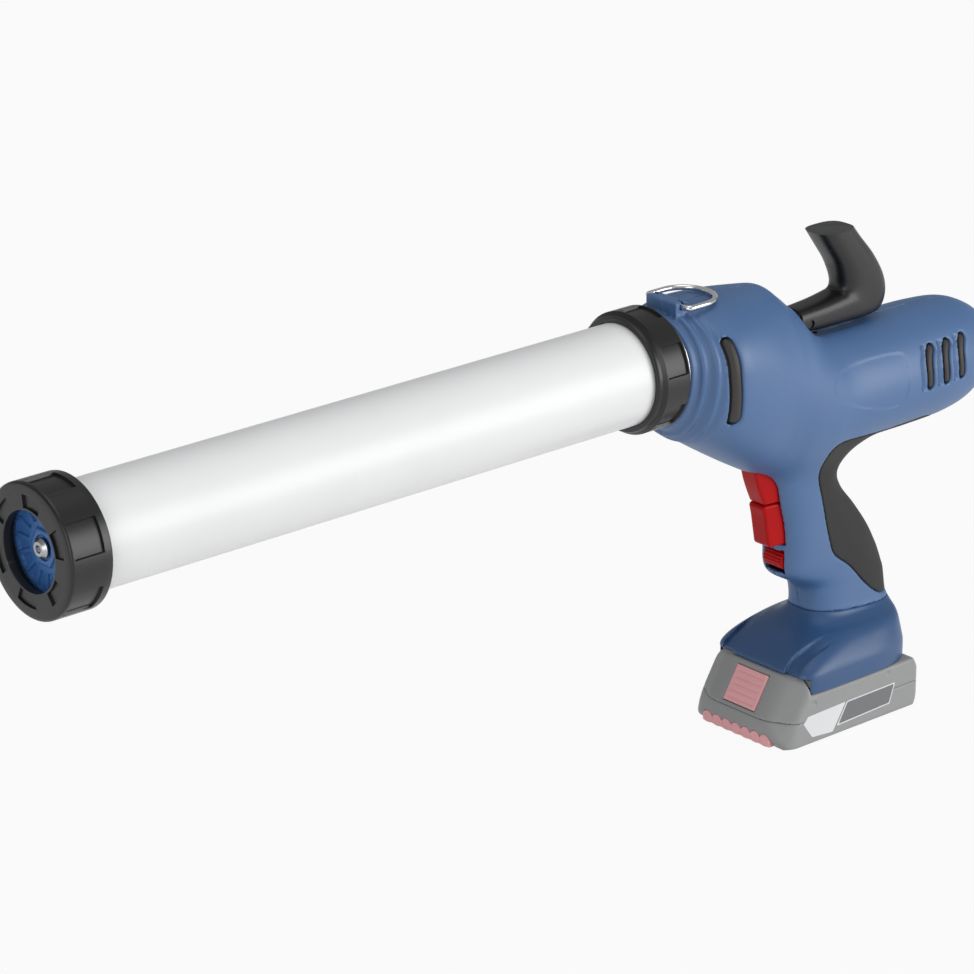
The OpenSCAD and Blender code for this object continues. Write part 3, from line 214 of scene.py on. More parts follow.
# The hook from the rod to its tip: inner edge x and z, outer edge x and z, half width
HOOK_KEYS = [
    [501, 8.4, 501, -6.2, 8.8],
    [518, 9.6, 518, -6.3, 9.4],
    [529.5, 11.2, 537, -6.4, 10],
    [532.6, 12, 552, -6.4, 10.3],
    [533.6, 13.6, 563, -4.4, 10.3],
    [533.7, 16, 567.6, 4, 10.3],
    [532.9, 19, 565.8, 15, 10.3],
    [531.4, 23, 557.6, 28.5, 10.3],
    [528.4, 29, 545.8, 42, 10.3],
    [520.5, 40, 537.2, 52.6, 10.3],
    [513.3, 50, 529.4, 62.2, 10.3],
]
# Outline of the rubber grip seen from the side, from the tail forwards and down to the foot
GRIP_EDGE = [
    [610, -73.5], [597, -70.5], [585, -67.2], [570, -67.5], [554, -68.2], [534, -65.3], [516, -63.5],
    [509, -64.6], [505.4, -69], [505.2, -78], [507.3, -88], [511.2, -101], [516.8, -123.6], [521.1, -133.5],
    [533.2, -143.1], [544.1, -154.7], [552.9, -162.5], [562, -167.4], [578, -169],
]
GRIP_REAR = [[640, -169], [640, -73.5]]
# Face of the triggers: place and depth below the axis
TRIGGER_FACE = np.array([
    [470.2, 76], [472.2, 83.5], [475, 90.5], [477.4, 97], [478.8, 105], [480.4, 114], [481.9, 123],
])
# Centre line of the banana shaped slot in the hub
SLOT_LINE = [[419.8, 14.6], [420.2, 8], [420.7, -3], [422.2, -15], [424, -26.2]]
SLOT_HALF = 3.9
VENTS_X = [577.4, 590.6, 603.8]
# Middle line of a vent, from its place downwards
VENT_LINE = [[3, -25.6], [0.9, -29], [-0.4, -34], [-0.3, -40], [0, -44.4]]
VENT_TOP = -22.8
VENT_BOTTOM = -47.4
VENT_HALF = 3.0
RAMP_LENGTH = 5.0
# Outline of the bare badge recess on both sides of the tail
BADGE_EDGE = [
    [499.8, -28.5], [504.6, -22], [520, -21.6], [534.5, -21.3], [547, -21.7], [558.6, -22.6], [560.2, -27],
    [559.4, -34], [559.2, -43], [556.8, -49], [549.5, -51.2], [536, -48.6], [522, -44.2], [507.5, -37.6],
    [501.5, -33],
]
# Housing screws: place, height, where the head seats
SCREW_SPOTS = [
    [430, -45, 14], [448, 21.5, 12], [514, -12.5, 12], [560, -65.4, 12], [592, -65.6, 12],
    [576, -16, 12], [525.4, -94, 9], [553, -140, 9], [519, -155, 9],
]


# Number work

def filled(keys, steps):
    """Keys filled up along a Catmull-Rom curve, with that many steps between each pair."""
    k = np.asarray(keys, float)
    p = np.concatenate([k[:1], k, k[-1:]])
    t = (np.arange(steps) / steps)[None, :, None]
    a, b, c, d = (p[i:len(p) - 3 + i, None] for i in range(4))
    bend = (2 * a - 5 * b + 4 * c - d) * t ** 2 + (3 * b - a - 3 * c + d) * t ** 3
    between = 0.5 * (2 * b + (c - a) * t + bend)
    return np.concatenate([between.reshape(-1, k.shape[1]), k[-1:]])


def sections(keys, at, steps=12):
    """Every column of the keys at the places given, read from the filled curve."""
    table = filled(keys, steps)
    return [np.interp(at, table[:, 0], table[:, c]) for c in range(1, table.shape[1])]


def smooth_min(a, b, blend):
    """The smaller of two fields, with material added in the corner over the blend width."""
    h = np.maximum(blend - np.abs(a - b), 0) / blend
    return np.minimum(a, b) - h * h * blend / 4


def smooth_max(a, b, blend):
    """The larger of two fields, with the edge rounded off over the blend width."""
    return -smooth_min(-a, -b, blend)


def step(value, width=1.0):
    """Runs smoothly from 0 to 1 while the value goes from 0 to the width."""
    t = np.clip(value / width, 0, 1)
    return t * t * (3 - 2 * t)


def bump(value, width):
    """A bell of height 1 at 0 that has nearly gone at one width."""
    return np.exp(-(2 * value / width) ** 2)


def oval(u, v, half, up, down, power_up, power_down):
    """First-order distance to |u/half|^p + |v/reach|^p = 1, with its own reach and p above and below."""
    reach = np.where(v >= 0, up, down)
    p = np.where(v >= 0, power_up, power_down)
    a = np.abs(u) / half + 1e-6
    b = np.abs(v) / reach + 1e-6
    total = (a ** p + b ** p) ** (1 / p)
    slope = np.hypot(a ** (p - 1) / half, b ** (p - 1) / reach) * total ** (1 - p)
    return (total - 1) / np.maximum(slope, 1e-3)


def box(x, y, z, low, high):
    """Signed distance to a box between two corners."""
    q = [np.abs(v - (a + b) / 2) - (b - a) / 2 for v, a, b in zip((x, y, z), low, high)]
    outside = np.sqrt(sum(np.maximum(v, 0) ** 2 for v in q))
    return outside + np.minimum(np.maximum(np.maximum(q[0], q[1]), q[2]), 0)


def line_distance(x, z, line):
    """Distance to a line of short straight stretches in the side view."""
    best = np.full(np.broadcast(x, z).shape, 1e9)
    for (ax, az), (bx, bz) in zip(line[:-1], line[1:]):
        ex, ez = bx - ax, bz - az
        t = np.clip(((x - ax) * ex + (z - az) * ez) / (ex * ex + ez * ez), 0, 1)
        best = np.minimum(best, np.hypot(x - ax - t * ex, z - az - t * ez))
    return best


def outline_distance(x, z, points):
    """Signed distance to a closed outline in the side view, negative inside, by even and odd crossings."""
    ring = np.concatenate([points, points[:1]])
    inside = np.zeros(np.broadcast(x, z).shape, bool)
    for (ax, az), (bx, bz) in zip(ring[:-1], ring[1:]):
        if az != bz:
            inside ^= ((az > z) != (bz > z)) & (x < (bx - ax) * (z - az) / (bz - az) + ax)
    return np.where(inside, -1, 1) * line_distance(x, z, ring)


def across(side, near, far):
    """The lower and the higher end of a stretch across the tool, on its left, -1, or its right, 1."""
    return sorted((side * near, side * far))


def sunk(solid, region, depth, edge=0.6):
    """The solid with its skin sunk by the depth inside the region, with rounded edges."""
    return smooth_max(solid, smooth_min(-region, solid + depth, edge), edge)


# Mesh work

def grid_faces(rows, cols, around=True, closed=False):
    """Quads between the neighbours of a grid of points; around closes its columns and closed its rows."""
    last_row = rows if closed else rows - 1
    last_col = cols if around else cols - 1
    r, c = np.meshgrid(np.arange(last_row), np.arange(last_col), indexing="ij")
    r2, c2 = (r + 1) % rows, (c + 1) % cols
    return np.stack([r * cols + c, r * cols + c2, r2 * cols + c2, r2 * cols + c], -1).reshape(-1, 4)


def joined(parts):
    """Several (points, faces) made one."""
    points, faces, count = [], [], 0
    for p, fs in parts:
        points.append(p)
        faces += [f + count for f in fs]
        count += len(p)
    return np.concatenate(points), faces


def mesh_of(name, points, faces):
    """A mesh from points in millimetres and arrays of faces with the same number of corners each."""
    mesh = bpy.data.meshes.new(name)
    loops = np.concatenate([f.ravel() for f in faces]).astype(np.int32)
    sizes = np.concatenate([np.full(len(f), f.shape[1]) for f in faces])
    starts = np.concatenate([[0], np.cumsum(sizes)[:-1]]).astype(np.int32)
    mesh.vertices.add(len(points))
    mesh.vertices.foreach_set("co", (np.asarray(points) * MM).astype(np.float32).ravel())
    mesh.loops.add(len(loops))
    mesh.loops.foreach_set("vertex_index", loops)
    mesh.polygons.add(len(sizes))
    mesh.polygons.foreach_set("loop_start", starts)
    mesh.update(calc_edges=True)
    mesh.validate()
    return mesh


def tidy_mesh(mesh):
    """Joins points that lie together and turns every face outwards."""
    b = bmesh.new()
    b.from_mesh(mesh)
    bmesh.ops.remove_doubles(b, verts=b.verts, dist=1e-7)
    bmesh.ops.recalc_face_normals(b, faces=b.faces)
    b.to_mesh(mesh)
    b.free()


def piece(name, shape, material, body, slot, replaces=(), crease=38.0, tidy=True):
    """One finished piece from a (points, faces) shape, smooth but for edges sharper than the crease."""
    mesh = mesh_of(name, *shape) if isinstance(shape, tuple) else shape
    if tidy:
        tidy_mesh(mesh)
    mesh.shade_smooth()
    mesh.set_sharp_from_angle(angle=math.radians(crease))
    obj = bpy.data.objects.new(name, mesh)
    bpy.context.scene.collection.objects.link(obj)
    mesh.materials.clear()
    mesh.materials.append(material)
    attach(obj, body)
    if replaces:
        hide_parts(*replaces)
    return obj


def carved(shape, cutters):
    """The mesh of a solid after each cutter has been taken from it."""
    scene = bpy.context.scene
    base = bpy.data.objects.new("base", mesh_of("base", *shape) if isinstance(shape, tuple) else shape)
    scene.collection.objects.link(base)
    others = []
    for cutter in cutters:
        mesh = mesh_of("cutter", *cutter)
        tidy_mesh(mesh)
        other = bpy.data.objects.new("cutter", mesh)
        scene.collection.objects.link(other)
        modifier = base.modifiers.new("cut", "BOOLEAN")
        modifier.object = other
        modifier.operation = "DIFFERENCE"
        modifier.solver = "MANIFOLD"
        others.append(other)
    result = bpy.data.meshes.new_from_object(base.evaluated_get(bpy.context.evaluated_depsgraph_get()))
    for o in [base, *others]:
        bpy.data.objects.remove(o)
    if not len(result.polygons):
        raise RuntimeError("a cut left nothing")
    return result


def block(low, high):
    """A plain box between two corners, used only to cut."""
    x, y, z = ([a, b] for a, b in zip(low, high))
    points = np.array([[i, j, k] for i in x for j in y for k in z], float)
    faces = [[0, 1, 3, 2], [4, 6, 7, 5], [0, 4, 5, 1], [2, 3, 7, 6], [0, 2, 6, 4], [1, 5, 7, 3]]
    return points, [np.array(faces)]


def rounded(points, radius, steps=4):
    """A closed outline with each corner turned into a curve, which starts the radius before the corner and
    ends as far behind it."""
    p = np.asarray(points, float)
    before, after = np.roll(p, 1, 0) - p, np.roll(p, -1, 0) - p
    radius = np.broadcast_to(np.asarray(radius, float), len(p))[:, None]
    reach_b = np.minimum(radius / np.linalg.norm(before, axis=1)[:, None], 0.45) * before
    reach_a = np.minimum(radius / np.linalg.norm(after, axis=1)[:, None], 0.45) * after
    t = np.linspace(0, 1, steps + 1)[None, :, None]
    first, last = (p + reach_b)[:, None], (p + reach_a)[:, None]
    return ((1 - t) ** 2 * first + 2 * t * (1 - t) * p[:, None] + t ** 2 * last).reshape(-1, 2)


def turned(profile, angles, change=None):
    """A closed profile of (x, radius) carried round the X axis; change(x, r, a) may shift both."""
    x = np.repeat(profile[:, :1], len(angles), 1)
    r = np.repeat(profile[:, 1:], len(angles), 1)
    if change:
        x, r = change(x, r, angles)
    points = np.stack([x, r * np.cos(angles), r * np.sin(angles)], -1)
    return points.reshape(-1, 3), [grid_faces(len(profile), len(angles), closed=True)]


def full_turn(count):
    """Evenly spaced angles round a circle."""
    return np.linspace(0, 2 * math.pi, count, endpoint=False)


def lofted(rings):
    """A closed solid through rings with the same number of points, with a flat face on each end."""
    rows, cols = rings.shape[:2]
    ends = [np.arange(cols)[None, ::-1], (rows - 1) * cols + np.arange(cols)[None]]
    return rings.reshape(-1, 3), [grid_faces(rows, cols), *ends]


def tube(path, radius, sides=20):
    """A round wire along a path in space: circles square to it, carried without twist."""
    path = np.asarray(path, float)
    along = np.gradient(path, axis=0)
    along /= np.linalg.norm(along, axis=1)[:, None]
    side = np.cross(along, [0.0, 0.0, 1.0])
    side /= np.linalg.norm(side, axis=1)[:, None]
    up = np.cross(side, along)
    a = full_turn(sides)[None, :, None]
    rings = path[:, None] + radius * (np.cos(a) * side[:, None] + np.sin(a) * up[:, None])
    return lofted(rings)


def netted(field, low, high, cell):
    """The surface where a field is zero, negative inside. Each cell of a grid that the surface crosses
    gets one point at the mean of its edge crossings, drawn onto the surface along the field's slope,
    and each crossed edge of the grid gets a quad between the four cells round it."""
    axes = [np.arange(a, b + cell, cell) for a, b in zip(low, high)]
    x, y, z = axes[0][:, None, None], axes[1][None, :, None], axes[2][None, None, :]
    f = np.broadcast_to(field(x, y, z), [len(v) for v in axes]).astype(np.float32)
    shape = np.array(f.shape) - 1
    total = np.zeros([*shape, 3], np.float32)
    count = np.zeros(shape, np.float32)
    inside = f < 0
    crossings = []
    for axis in range(3):
        cut = [slice(None)] * 3
        nxt = list(cut)
        cut[axis], nxt[axis] = slice(0, -1), slice(1, None)
        f0, f1 = f[tuple(cut)], f[tuple(nxt)]
        crossed = inside[tuple(cut)] != inside[tuple(nxt)]
        share = np.where(crossed, f0 / np.where(crossed, f0 - f1, 1), 0)
        crossings.append((crossed, inside[tuple(cut)]))
        b, c = [a for a in range(3) if a != axis]
        for db in (0, 1):
            for dc in (0, 1):
                take = [slice(None)] * 3
                take[b] = slice(db, f.shape[b] - 1 + db)
                take[c] = slice(dc, f.shape[c] - 1 + dc)
                hit = crossed[tuple(take)]
                count += hit
                total[..., axis] += np.where(hit, share[tuple(take)], 0)
                total[..., b] += hit * db
                total[..., c] += hit * dc
    used = count > 0
    number = np.full(shape, -1, np.int64)
    number[used] = np.arange(used.sum())
    cells = np.argwhere(used)
    points = (cells + total[used] / count[used][:, None]) * cell + [v[0] for v in axes]
    faces = []
    for axis, (crossed, starts_inside) in enumerate(crossings):
        b, c = (axis + 1) % 3, (axis + 2) % 3
        inner = [slice(None)] * 3
        inner[b], inner[c] = slice(1, -1), slice(1, -1)
        place = np.argwhere(crossed[tuple(inner)])
        place[:, b] += 1
        place[:, c] += 1
        if not len(place):
            continue
        outwards = starts_inside[tuple(place.T)]
        corner = []
        for db, dc in ((-1, -1), (0, -1), (0, 0), (-1, 0)):
            at = place.copy()
            at[:, b] += db
            at[:, c] += dc
            corner.append(number[tuple(at.T)])
        quads = np.stack(corner, 1)
        quads[~outwards] = quads[~outwards, ::-1]
        faces.append(quads)
    for _ in range(2):
        points = settled(field, points, cell)
    return points, [np.concatenate(faces)]


def settled(field, points, cell):
    """Points moved onto the field's surface along its slope, by at most half a cell."""
    h = 0.05
    x, y, z = points.T
    here = field(x, y, z)
    slope = np.stack([
        field(x + h, y, z) - field(x - h, y, z),
        field(x, y + h, z) - field(x, y - h, z),
        field(x, y, z + h) - field(x, y, z - h),
    ], 1) / (2 * h)
    move = slope * (here / np.maximum((slope ** 2).sum(1), 0.05))[:, None]
    length = np.linalg.norm(move, axis=1)[:, None]
    return points - move * np.minimum(1, cell / 2 / np.maximum(length, 1e-9))


# Housing

GRIP_OUTLINE = np.concatenate([filled(GRIP_EDGE, 4), np.array(GRIP_REAR, float)])
SLOT_CENTRE = filled(SLOT_LINE, 4)
VENT_CENTRE = filled(VENT_LINE, 3)
BADGE_OUTLINE = rounded(BADGE_EDGE, 4.0)


def body_form(x, y, z):
    """Distance to the body: the oval of its section at that place, met with the planes of nose and tail, and
    made shorter where the sections change quickly."""
    def flat(place):
        top, bottom, half, mid, power = sections(BODY_KEYS, np.clip(place, NOSE_X, TAIL_END))
        return oval(y, z - mid, half, top - mid, mid - bottom, power, power)
    slope = np.clip(flat(x + 0.5) - flat(x - 0.5), -2.5, 2.5)
    f = flat(x) / np.sqrt(1 + slope ** 2)
    return smooth_max(smooth_max(f, x - TAIL_END, 6.0), NOSE_X - x, 1.2)


def keyed_form(keys, x, y, z):
    """Distance to an upright form: the oval of its section at that depth below the axis, made shorter where
    the sections change quickly, so that it stays a distance on slanted sides too."""
    def flat(height):
        at = np.clip(-height, keys[0][0], keys[-1][0])
        front, back, half, mid, power_front, power_back = sections(keys, at)
        return oval(y, x - mid, half, back - mid, mid - front, power_back, power_front)
    slope = np.clip((flat(z + 0.4) - flat(z - 0.4)) / 0.8, -2.5, 2.5)
    return flat(z) / np.sqrt(1 + slope ** 2)


def seam_height(x):
    """Height of the seam between handle and foot, which falls a little towards the rear."""
    return SEAM_Z - SEAM_FALL * (x - SEAM_FRONT)


def handle_form(x, y, z):
    """Distance to the handle, which ends inside the body above and at the foot's seam below."""
    ends = np.maximum(z + HANDLE_KEYS[0][0], seam_height(x) - z)
    return smooth_max(keyed_form(HANDLE_KEYS, x, y, z), ends, 0.8)


def vent_distance(x, z, middle):
    """Distance to the upright slot with round ends at one vent."""
    return line_distance(x - middle, z, VENT_CENTRE) - VENT_HALF


def ramp_depth(x, z, middle):
    """How deep the slat in front of a vent lies, from 1 behind its front edge to 0 where the vent starts."""
    vent = middle + np.interp(-z, -VENT_CENTRE[:, 1], VENT_CENTRE[:, 0]) - VENT_HALF
    along = x - vent + RAMP_LENGTH
    upright = step(z - VENT_BOTTOM + 0.12 * (x - middle), 0.7) * step(VENT_TOP - z, 0.7)
    return step(along, 0.7) * np.clip(1 - along / RAMP_LENGTH, 0, 1) * upright


def slot_distance(x, z):
    """Distance to the banana shaped slot of the hub, seen from the side."""
    return line_distance(x, z, SLOT_CENTRE) - SLOT_HALF


def collar_rings(x, sizes):
    """How far the collar's two ridges stand out at that place, with a sunk neck before the first one and a
    shallow groove behind each."""
    height = sizes.collar_ridge
    neck = 1.5 * step(405.7 - x, 0.7)
    rings = 0.8 * height * bump(x - 406.9, 2.6) - 0.5 * height * bump(x - 409.2, 2.6)
    return rings + height * bump(x - 411.8, 2.8) - 0.6 * height * bump(x - 414.4, 3.0) - neck


def outer_skin(x, y, z, sizes):
    """Body and handle flowing into each other, with the collar's ridges and the ring's block."""
    f = body_form(x, y, z) - collar_rings(x, sizes)
    f = smooth_min(f, handle_form(x, y, z), HANDLE_BLEND)
    low = (RING_X - 4.6, -RING_BLOCK_HALF, 20.0)
    high = (RING_X + 3.0, RING_BLOCK_HALF, RING_Z + 2.5)
    return smooth_min(f, box(x, y, z, low, high) - 0.15, 0.5)


def shell_solid(x, y, z, sizes):
    """The housing as a full solid, with everything that is sunk or cut into its skin."""
    edge = sizes.edge_round
    side = np.abs(y)
    f = outer_skin(x, y, z, sizes)
    for middle in VENTS_X:
        f = f + sizes.ramp_depth * ramp_depth(x, z, middle)
    f = sunk(f, outline_distance(x, z, BADGE_OUTLINE), sizes.badge_depth, 0.3)
    f = sunk(f, outline_distance(x, z, GRIP_OUTLINE), GRIP_DEPTH, 0.5)
    for middle in VENTS_X:
        f = sunk(f, vent_distance(x, z, middle), INSERT_HOLE, edge)
    f = sunk(f, slot_distance(x, z), INSERT_HOLE, edge)
    bay_half = TRIGGER_HALF + TRIGGER_GAP
    trigger_bay = box(x, y, z, (460.0, -bay_half, BAY_BOTTOM), (500.0, bay_half, BAY_TOP))
    low = (478.0, -WINDOW_SIDE, WINDOW_Z - WINDOW_HALF)
    window = box(x, y, z, low, (DIAL_X, WINDOW_SIDE, WINDOW_Z + WINDOW_HALF))
    dial_pocket = np.maximum(np.hypot(x - DIAL_X, z - DIAL_Z) - 7.4, side - 7.3)
    hook_pocket = box(x, y, z, (485.0, -10.9, -7.0), (535.0, 10.9, 40.0))
    scoop = np.hypot(np.hypot(np.maximum(x - sizes.scoop_end, 0), y), z - 5.5) - 14.5
    nose_bore = np.maximum(np.hypot(y, z) - SOCKET_NECK - 0.3, x - 409.6)
    ring_bore = np.maximum(np.hypot(x - RING_X, z - RING_Z) - RING_WIRE - 0.3, 7.5 - side)
    for cut in (trigger_bay, window, nose_bore, ring_bore):
        f = smooth_max(f, -cut, edge)
    for cut in (hook_pocket, np.maximum(scoop, 500.0 - x)):
        f = smooth_max(f, -cut, 3.0)
    return np.maximum(f, -dial_pocket)


def screw_holes(f, x, y, z, edge=0.5):
    """A field of the right half with a counterbore over every screw."""
    for sx, sz, seat in SCREW_SPOTS:
        f = smooth_max(f, -np.maximum(np.hypot(x - sx, z - sz) - HEAD_R, seat - y), edge)
    return f


def shell_cavity(x, y, z):
    """The room inside both halves: the skin moved in by the wall, less the ribs and the screw bosses."""
    f = np.minimum(body_form(x, y, z), handle_form(x, y, z)) + WALL
    f = np.maximum(f, 409.2 - x)
    f = np.minimum(f, box(x, y, z, (DUCT_FRONT, -DUCT_HALF, -172.0), (DUCT_BACK, DUCT_HALF, -160.0)))
    from_motor = np.hypot(y, z - MOTOR_Z)
    for middle, radius in MOTOR_RIBS:
        f = np.maximum(f, -np.maximum(np.abs(x - middle) - 1.5, radius - from_motor))
    for sx, sz, _ in SCREW_SPOTS:
        f = np.maximum(f, BOSS_R - np.hypot(x - sx, z - sz))
    return f


def half_shell(side, sizes, cell):
    """One half of the housing: side is -1 for the left and 1 for the right."""
    def field(x, y, z):
        f = shell_solid(x, y, z, sizes)
        if side > 0:
            f = screw_holes(f, x, y, z)
        return smooth_max(f, 0.01 - side * y, sizes.seam_round)

    def hollow(x, y, z):
        return np.maximum(shell_cavity(x, y, z), -3.0 - side * y)
    low_y, high_y = across(side, -1.2, 44.0)
    outside = netted(field, (NOSE_X - 1.5, low_y, SEAM_Z - 7.0), (TAIL_END + 1.5, high_y, 38.0), cell)
    low_y, high_y = across(side, -6.0, 43.0)
    inside = netted(hollow, (NOSE_X, low_y, SEAM_Z - 8.0), (TAIL_END, high_y, 34.0), CAVITY_CELL)
    return carved(outside, [inside])


def grip_half(side, sizes, cell):
    """One rubber grip: the layer between the skin and the recess floor, inside the grip's outline."""
    def field(x, y, z):
        skin = smooth_min(body_form(x, y, z), handle_form(x, y, z), HANDLE_BLEND)
        layer = np.maximum(skin + sizes.grip_sink, -(skin + GRIP_DEPTH - 0.05))
        f = smooth_max(layer, outline_distance(x, z, GRIP_OUTLINE) + sizes.grip_gap, 0.7)
        f = np.maximum(smooth_max(f, 0.01 - side * y, 0.3), seam_height(x) + 2.4 - z)
        return screw_holes(f, x, y, z, 0.4) if side > 0 else f
    low_y, high_y = across(side, -1.0, 34.0)
    return netted(field, (505.0, low_y, -171.0), (608.0, high_y, -62.0), cell)


def slot_insert(side, cell):
    """The insert of the hub's slot: a dark floor, and on it a rounded bar that leaves a gap at its front."""
    bar_line = SLOT_CENTRE + np.array([0.7, 0.0])

    def field(x, y, z):
        skin = body_form(x, y, z)
        from_bar = line_distance(x, z, bar_line)
        bar = smooth_max(skin + 0.1 + 0.9 * (from_bar / 2.8) ** 2, from_bar - 2.8, 0.6)
        raised = smooth_min(skin + 2.6, bar, 0.5)
        f = np.maximum(raised, slot_distance(x, z) + 0.06)
        return np.maximum(np.maximum(f, -(skin + INSERT_FLOOR)), 5.0 - side * y)
    low_y, high_y = across(side, 30.0, 44.0)
    return netted(field, (414.0, low_y, -38.0), (436.0, high_y, 24.0), cell)


def vent_insert(side, cell):
    """The three inserts of the tail's vents: a rounded bar on a dark floor, with a gap at its front."""
    def field(x, y, z):
        skin = body_form(x, y, z)
        f = np.full(np.broadcast(x, y, z).shape, 50.0)
        for middle in VENTS_X:
            from_bar = line_distance(x - middle - 0.6, z, VENT_CENTRE)
            bar = smooth_max(skin + 0.5 + 0.7 * (from_bar / 1.9) ** 2, from_bar - 1.9, 0.4)
            raised = smooth_min(skin + 2.8, bar, 0.4)
            f = np.minimum(f, np.maximum(raised, vent_distance(x, z, middle) + 0.06))
        return np.maximum(np.maximum(f, -(skin + INSERT_FLOOR)), 5.0 - side * y)
    low_y, high_y = across(side, 20.0, 35.0)
    return netted(field, (574.0, low_y, -50.0), (609.0, high_y, -21.0), cell)


def foot_skin(x, y, z):
    """The foot's outside: its sections under the tilted seam, with a valley sunk on each side of the hood."""
    side = np.abs(y)
    f = keyed_form(FOOT_KEYS, x, y, z)
    f = smooth_max(f, np.maximum(FOOT_BOTTOM - z, z - seam_height(x)), 0.6)
    hood = HOOD_HALF + 0.14 * np.maximum(x - 488.0, 0) - side
    valley = np.maximum(np.maximum(hood, side - 29.0), x - 512.0)
    return sunk(f, valley, 2.2 * step(511.0 - x, 18.0), 0.5)


def battery_foot(cell):
    """The foot: its skin with a hollow for the terminals and a rail on each side."""
    def field(x, y, z):
        side = np.abs(y)
        f = foot_skin(x, y, z)
        inner = smooth_max(f + WALL, z - SEAM_Z + WALL + 2.5, 1.0)
        room = FOOT_HALF - WALL
        for low, high in (
            ((400.0, -room, -240.0), (500.0, room, LIP_BOTTOM)),
            ((400.0, -80.0, -240.0), (487.3, 80.0, LIP_BOTTOM)),
            ((DUCT_FRONT, -DUCT_HALF, -187.0), (DUCT_BACK, DUCT_HALF, -150.0)),
        ):
            inner = np.minimum(inner, box(x, y, z, low, high))
        f = smooth_max(f, -inner, 0.5)
        rail = box(x, side, z, (488.0, 31.0, FOOT_BOTTOM), (540.0, room + 1, FOOT_BOTTOM + 2.7))
        return np.minimum(f, rail)
    return netted(field, (478.0, -39.0, FOOT_BOTTOM - 1.5), (576.0, 39.0, SEAM_Z + 3.0), cell)


# Battery

BATTERY_OUTLINE = np.array([
    [BATTERY_FRONT + 14.8, BATTERY_TOP], [BATTERY_FRONT + 1, BATTERY_SPLIT + 0.5], [BATTERY_FRONT, -218],
    [BATTERY_FRONT, -224], [BATTERY_FRONT + 5, BATTERY_BASE], [BATTERY_BACK - 5, BATTERY_BASE],
    [BATTERY_BACK, BATTERY_BASE + 6], [BATTERY_BACK, -209], [BATTERY_BACK - 6, SHOULDER_Z],
    [487, SHOULDER_Z], [487, BATTERY_TOP],
])


def battery_form(x, y, z):
    """The battery's outer form: its side outline, met with its plan and with the slanted front flats."""
    side = np.abs(y)
    f = outline_distance(x, z, BATTERY_OUTLINE)
    plan = np.maximum(*(
        np.hypot(np.maximum(ahead + radius, 0), np.maximum(side - BATTERY_HALF + radius, 0)) - radius
        for ahead, radius in ((BATTERY_FRONT - x, 13.0), (x - BATTERY_BACK, 6.5))
    ))
    f = smooth_max(f, plan, 2.0)
    turn = math.radians(28)
    local_x = (x - BATTERY_FRONT - 14.8) * math.cos(SLOPE) - (z - BATTERY_TOP) * math.sin(SLOPE)
    flat = math.sin(turn) * (side - LIP_HALF + 0.5) - math.cos(turn) * local_x
    return smooth_max(f, flat, 3.0)


def button_local(x, y, z):
    """Places seen from the release button: outwards along the slope's normal, across, and down the slope."""
    px, pz = x - BUTTON_X, z - BUTTON_Z
    out = -(px * math.cos(SLOPE) - pz * math.sin(SLOPE))
    return out, y, px * math.sin(SLOPE) + pz * math.cos(SLOPE)


def ridge_form(x, y, z, gap):
    """The scalloped strip along the battery's lower front edge, larger by the gap."""
    strip = box(x, y, z, (BATTERY_FRONT + 0.6, -26.0, BATTERY_BASE + 0.4), (BATTERY_FRONT + 6, 26.0, -225.5))
    nearest = np.clip(np.round(y / 7.4), -3, 3) * 7.4
    bump_round = np.maximum(np.hypot(y - nearest, z + 226.4) - 3.4, np.abs(x - BATTERY_FRONT - 3.1) - 2.9)
    return smooth_max(smooth_min(strip, bump_round, 0.6), BATTERY_BASE + 0.35 - z, 0.5) - gap


def battery_cover(cell):
    """The battery's upper case: all above the split, with its deck, rails, blade slots and button hole."""
    def field(x, y, z):
        side = np.abs(y)
        shape = battery_form(x, y, z)
        f = smooth_max(shape, BATTERY_SPLIT + 0.1 - z, 0.6)
        deck = box(x, y, z, (488.0, -30.5, SHOULDER_Z - 3), (540.0, 30.5, DECK_TOP))
        deck = smooth_min(deck, box(x, y, z, (538.0, -25.5, SHOULDER_Z - 3), (564.0, 25.5, DECK_TOP)), 0.5)
        deck = np.minimum(deck, box(x, y, z, (488.0, -34.0, -198.0), (540.0, 34.0, DECK_TOP)))
        f = smooth_min(f, deck, 0.4)
        inner = np.maximum(shape + 2.4, BATTERY_SPLIT - 4 - z)
        inner = np.minimum(inner, box(x, y, z, (491.0, -24.0, -206.0), (560.0, 24.0, -196.2)))
        f = smooth_max(f, -inner, 0.5)
        for blade in (-11.0, -3.7, 3.7, 11.0):
            f = np.maximum(f, -box(x, y, z, (543.5, blade - 1, -203.0), (566.0, blade + 1, -190.0)))
        hole = box(*button_local(x, y, z), (-5.0, -12.3, -10.7), (6.0, 12.3, 10.7))
        f = smooth_max(f, -hole, 0.7)
        for dx, dz in ((489.0, -206.5), (546.0, -204.5)):
            dimple = np.hypot(x - dx, z - dz) - 1.5
            f = smooth_max(f, -np.maximum(dimple, BATTERY_HALF - 0.5 - side), 0.3)
        return f
    low = (BATTERY_FRONT - 1.5, -BATTERY_HALF - 1.5, BATTERY_SPLIT - 1.5)
    return netted(field, low, (BATTERY_BACK + 1.5, BATTERY_HALF + 1.5, -191.0), cell)


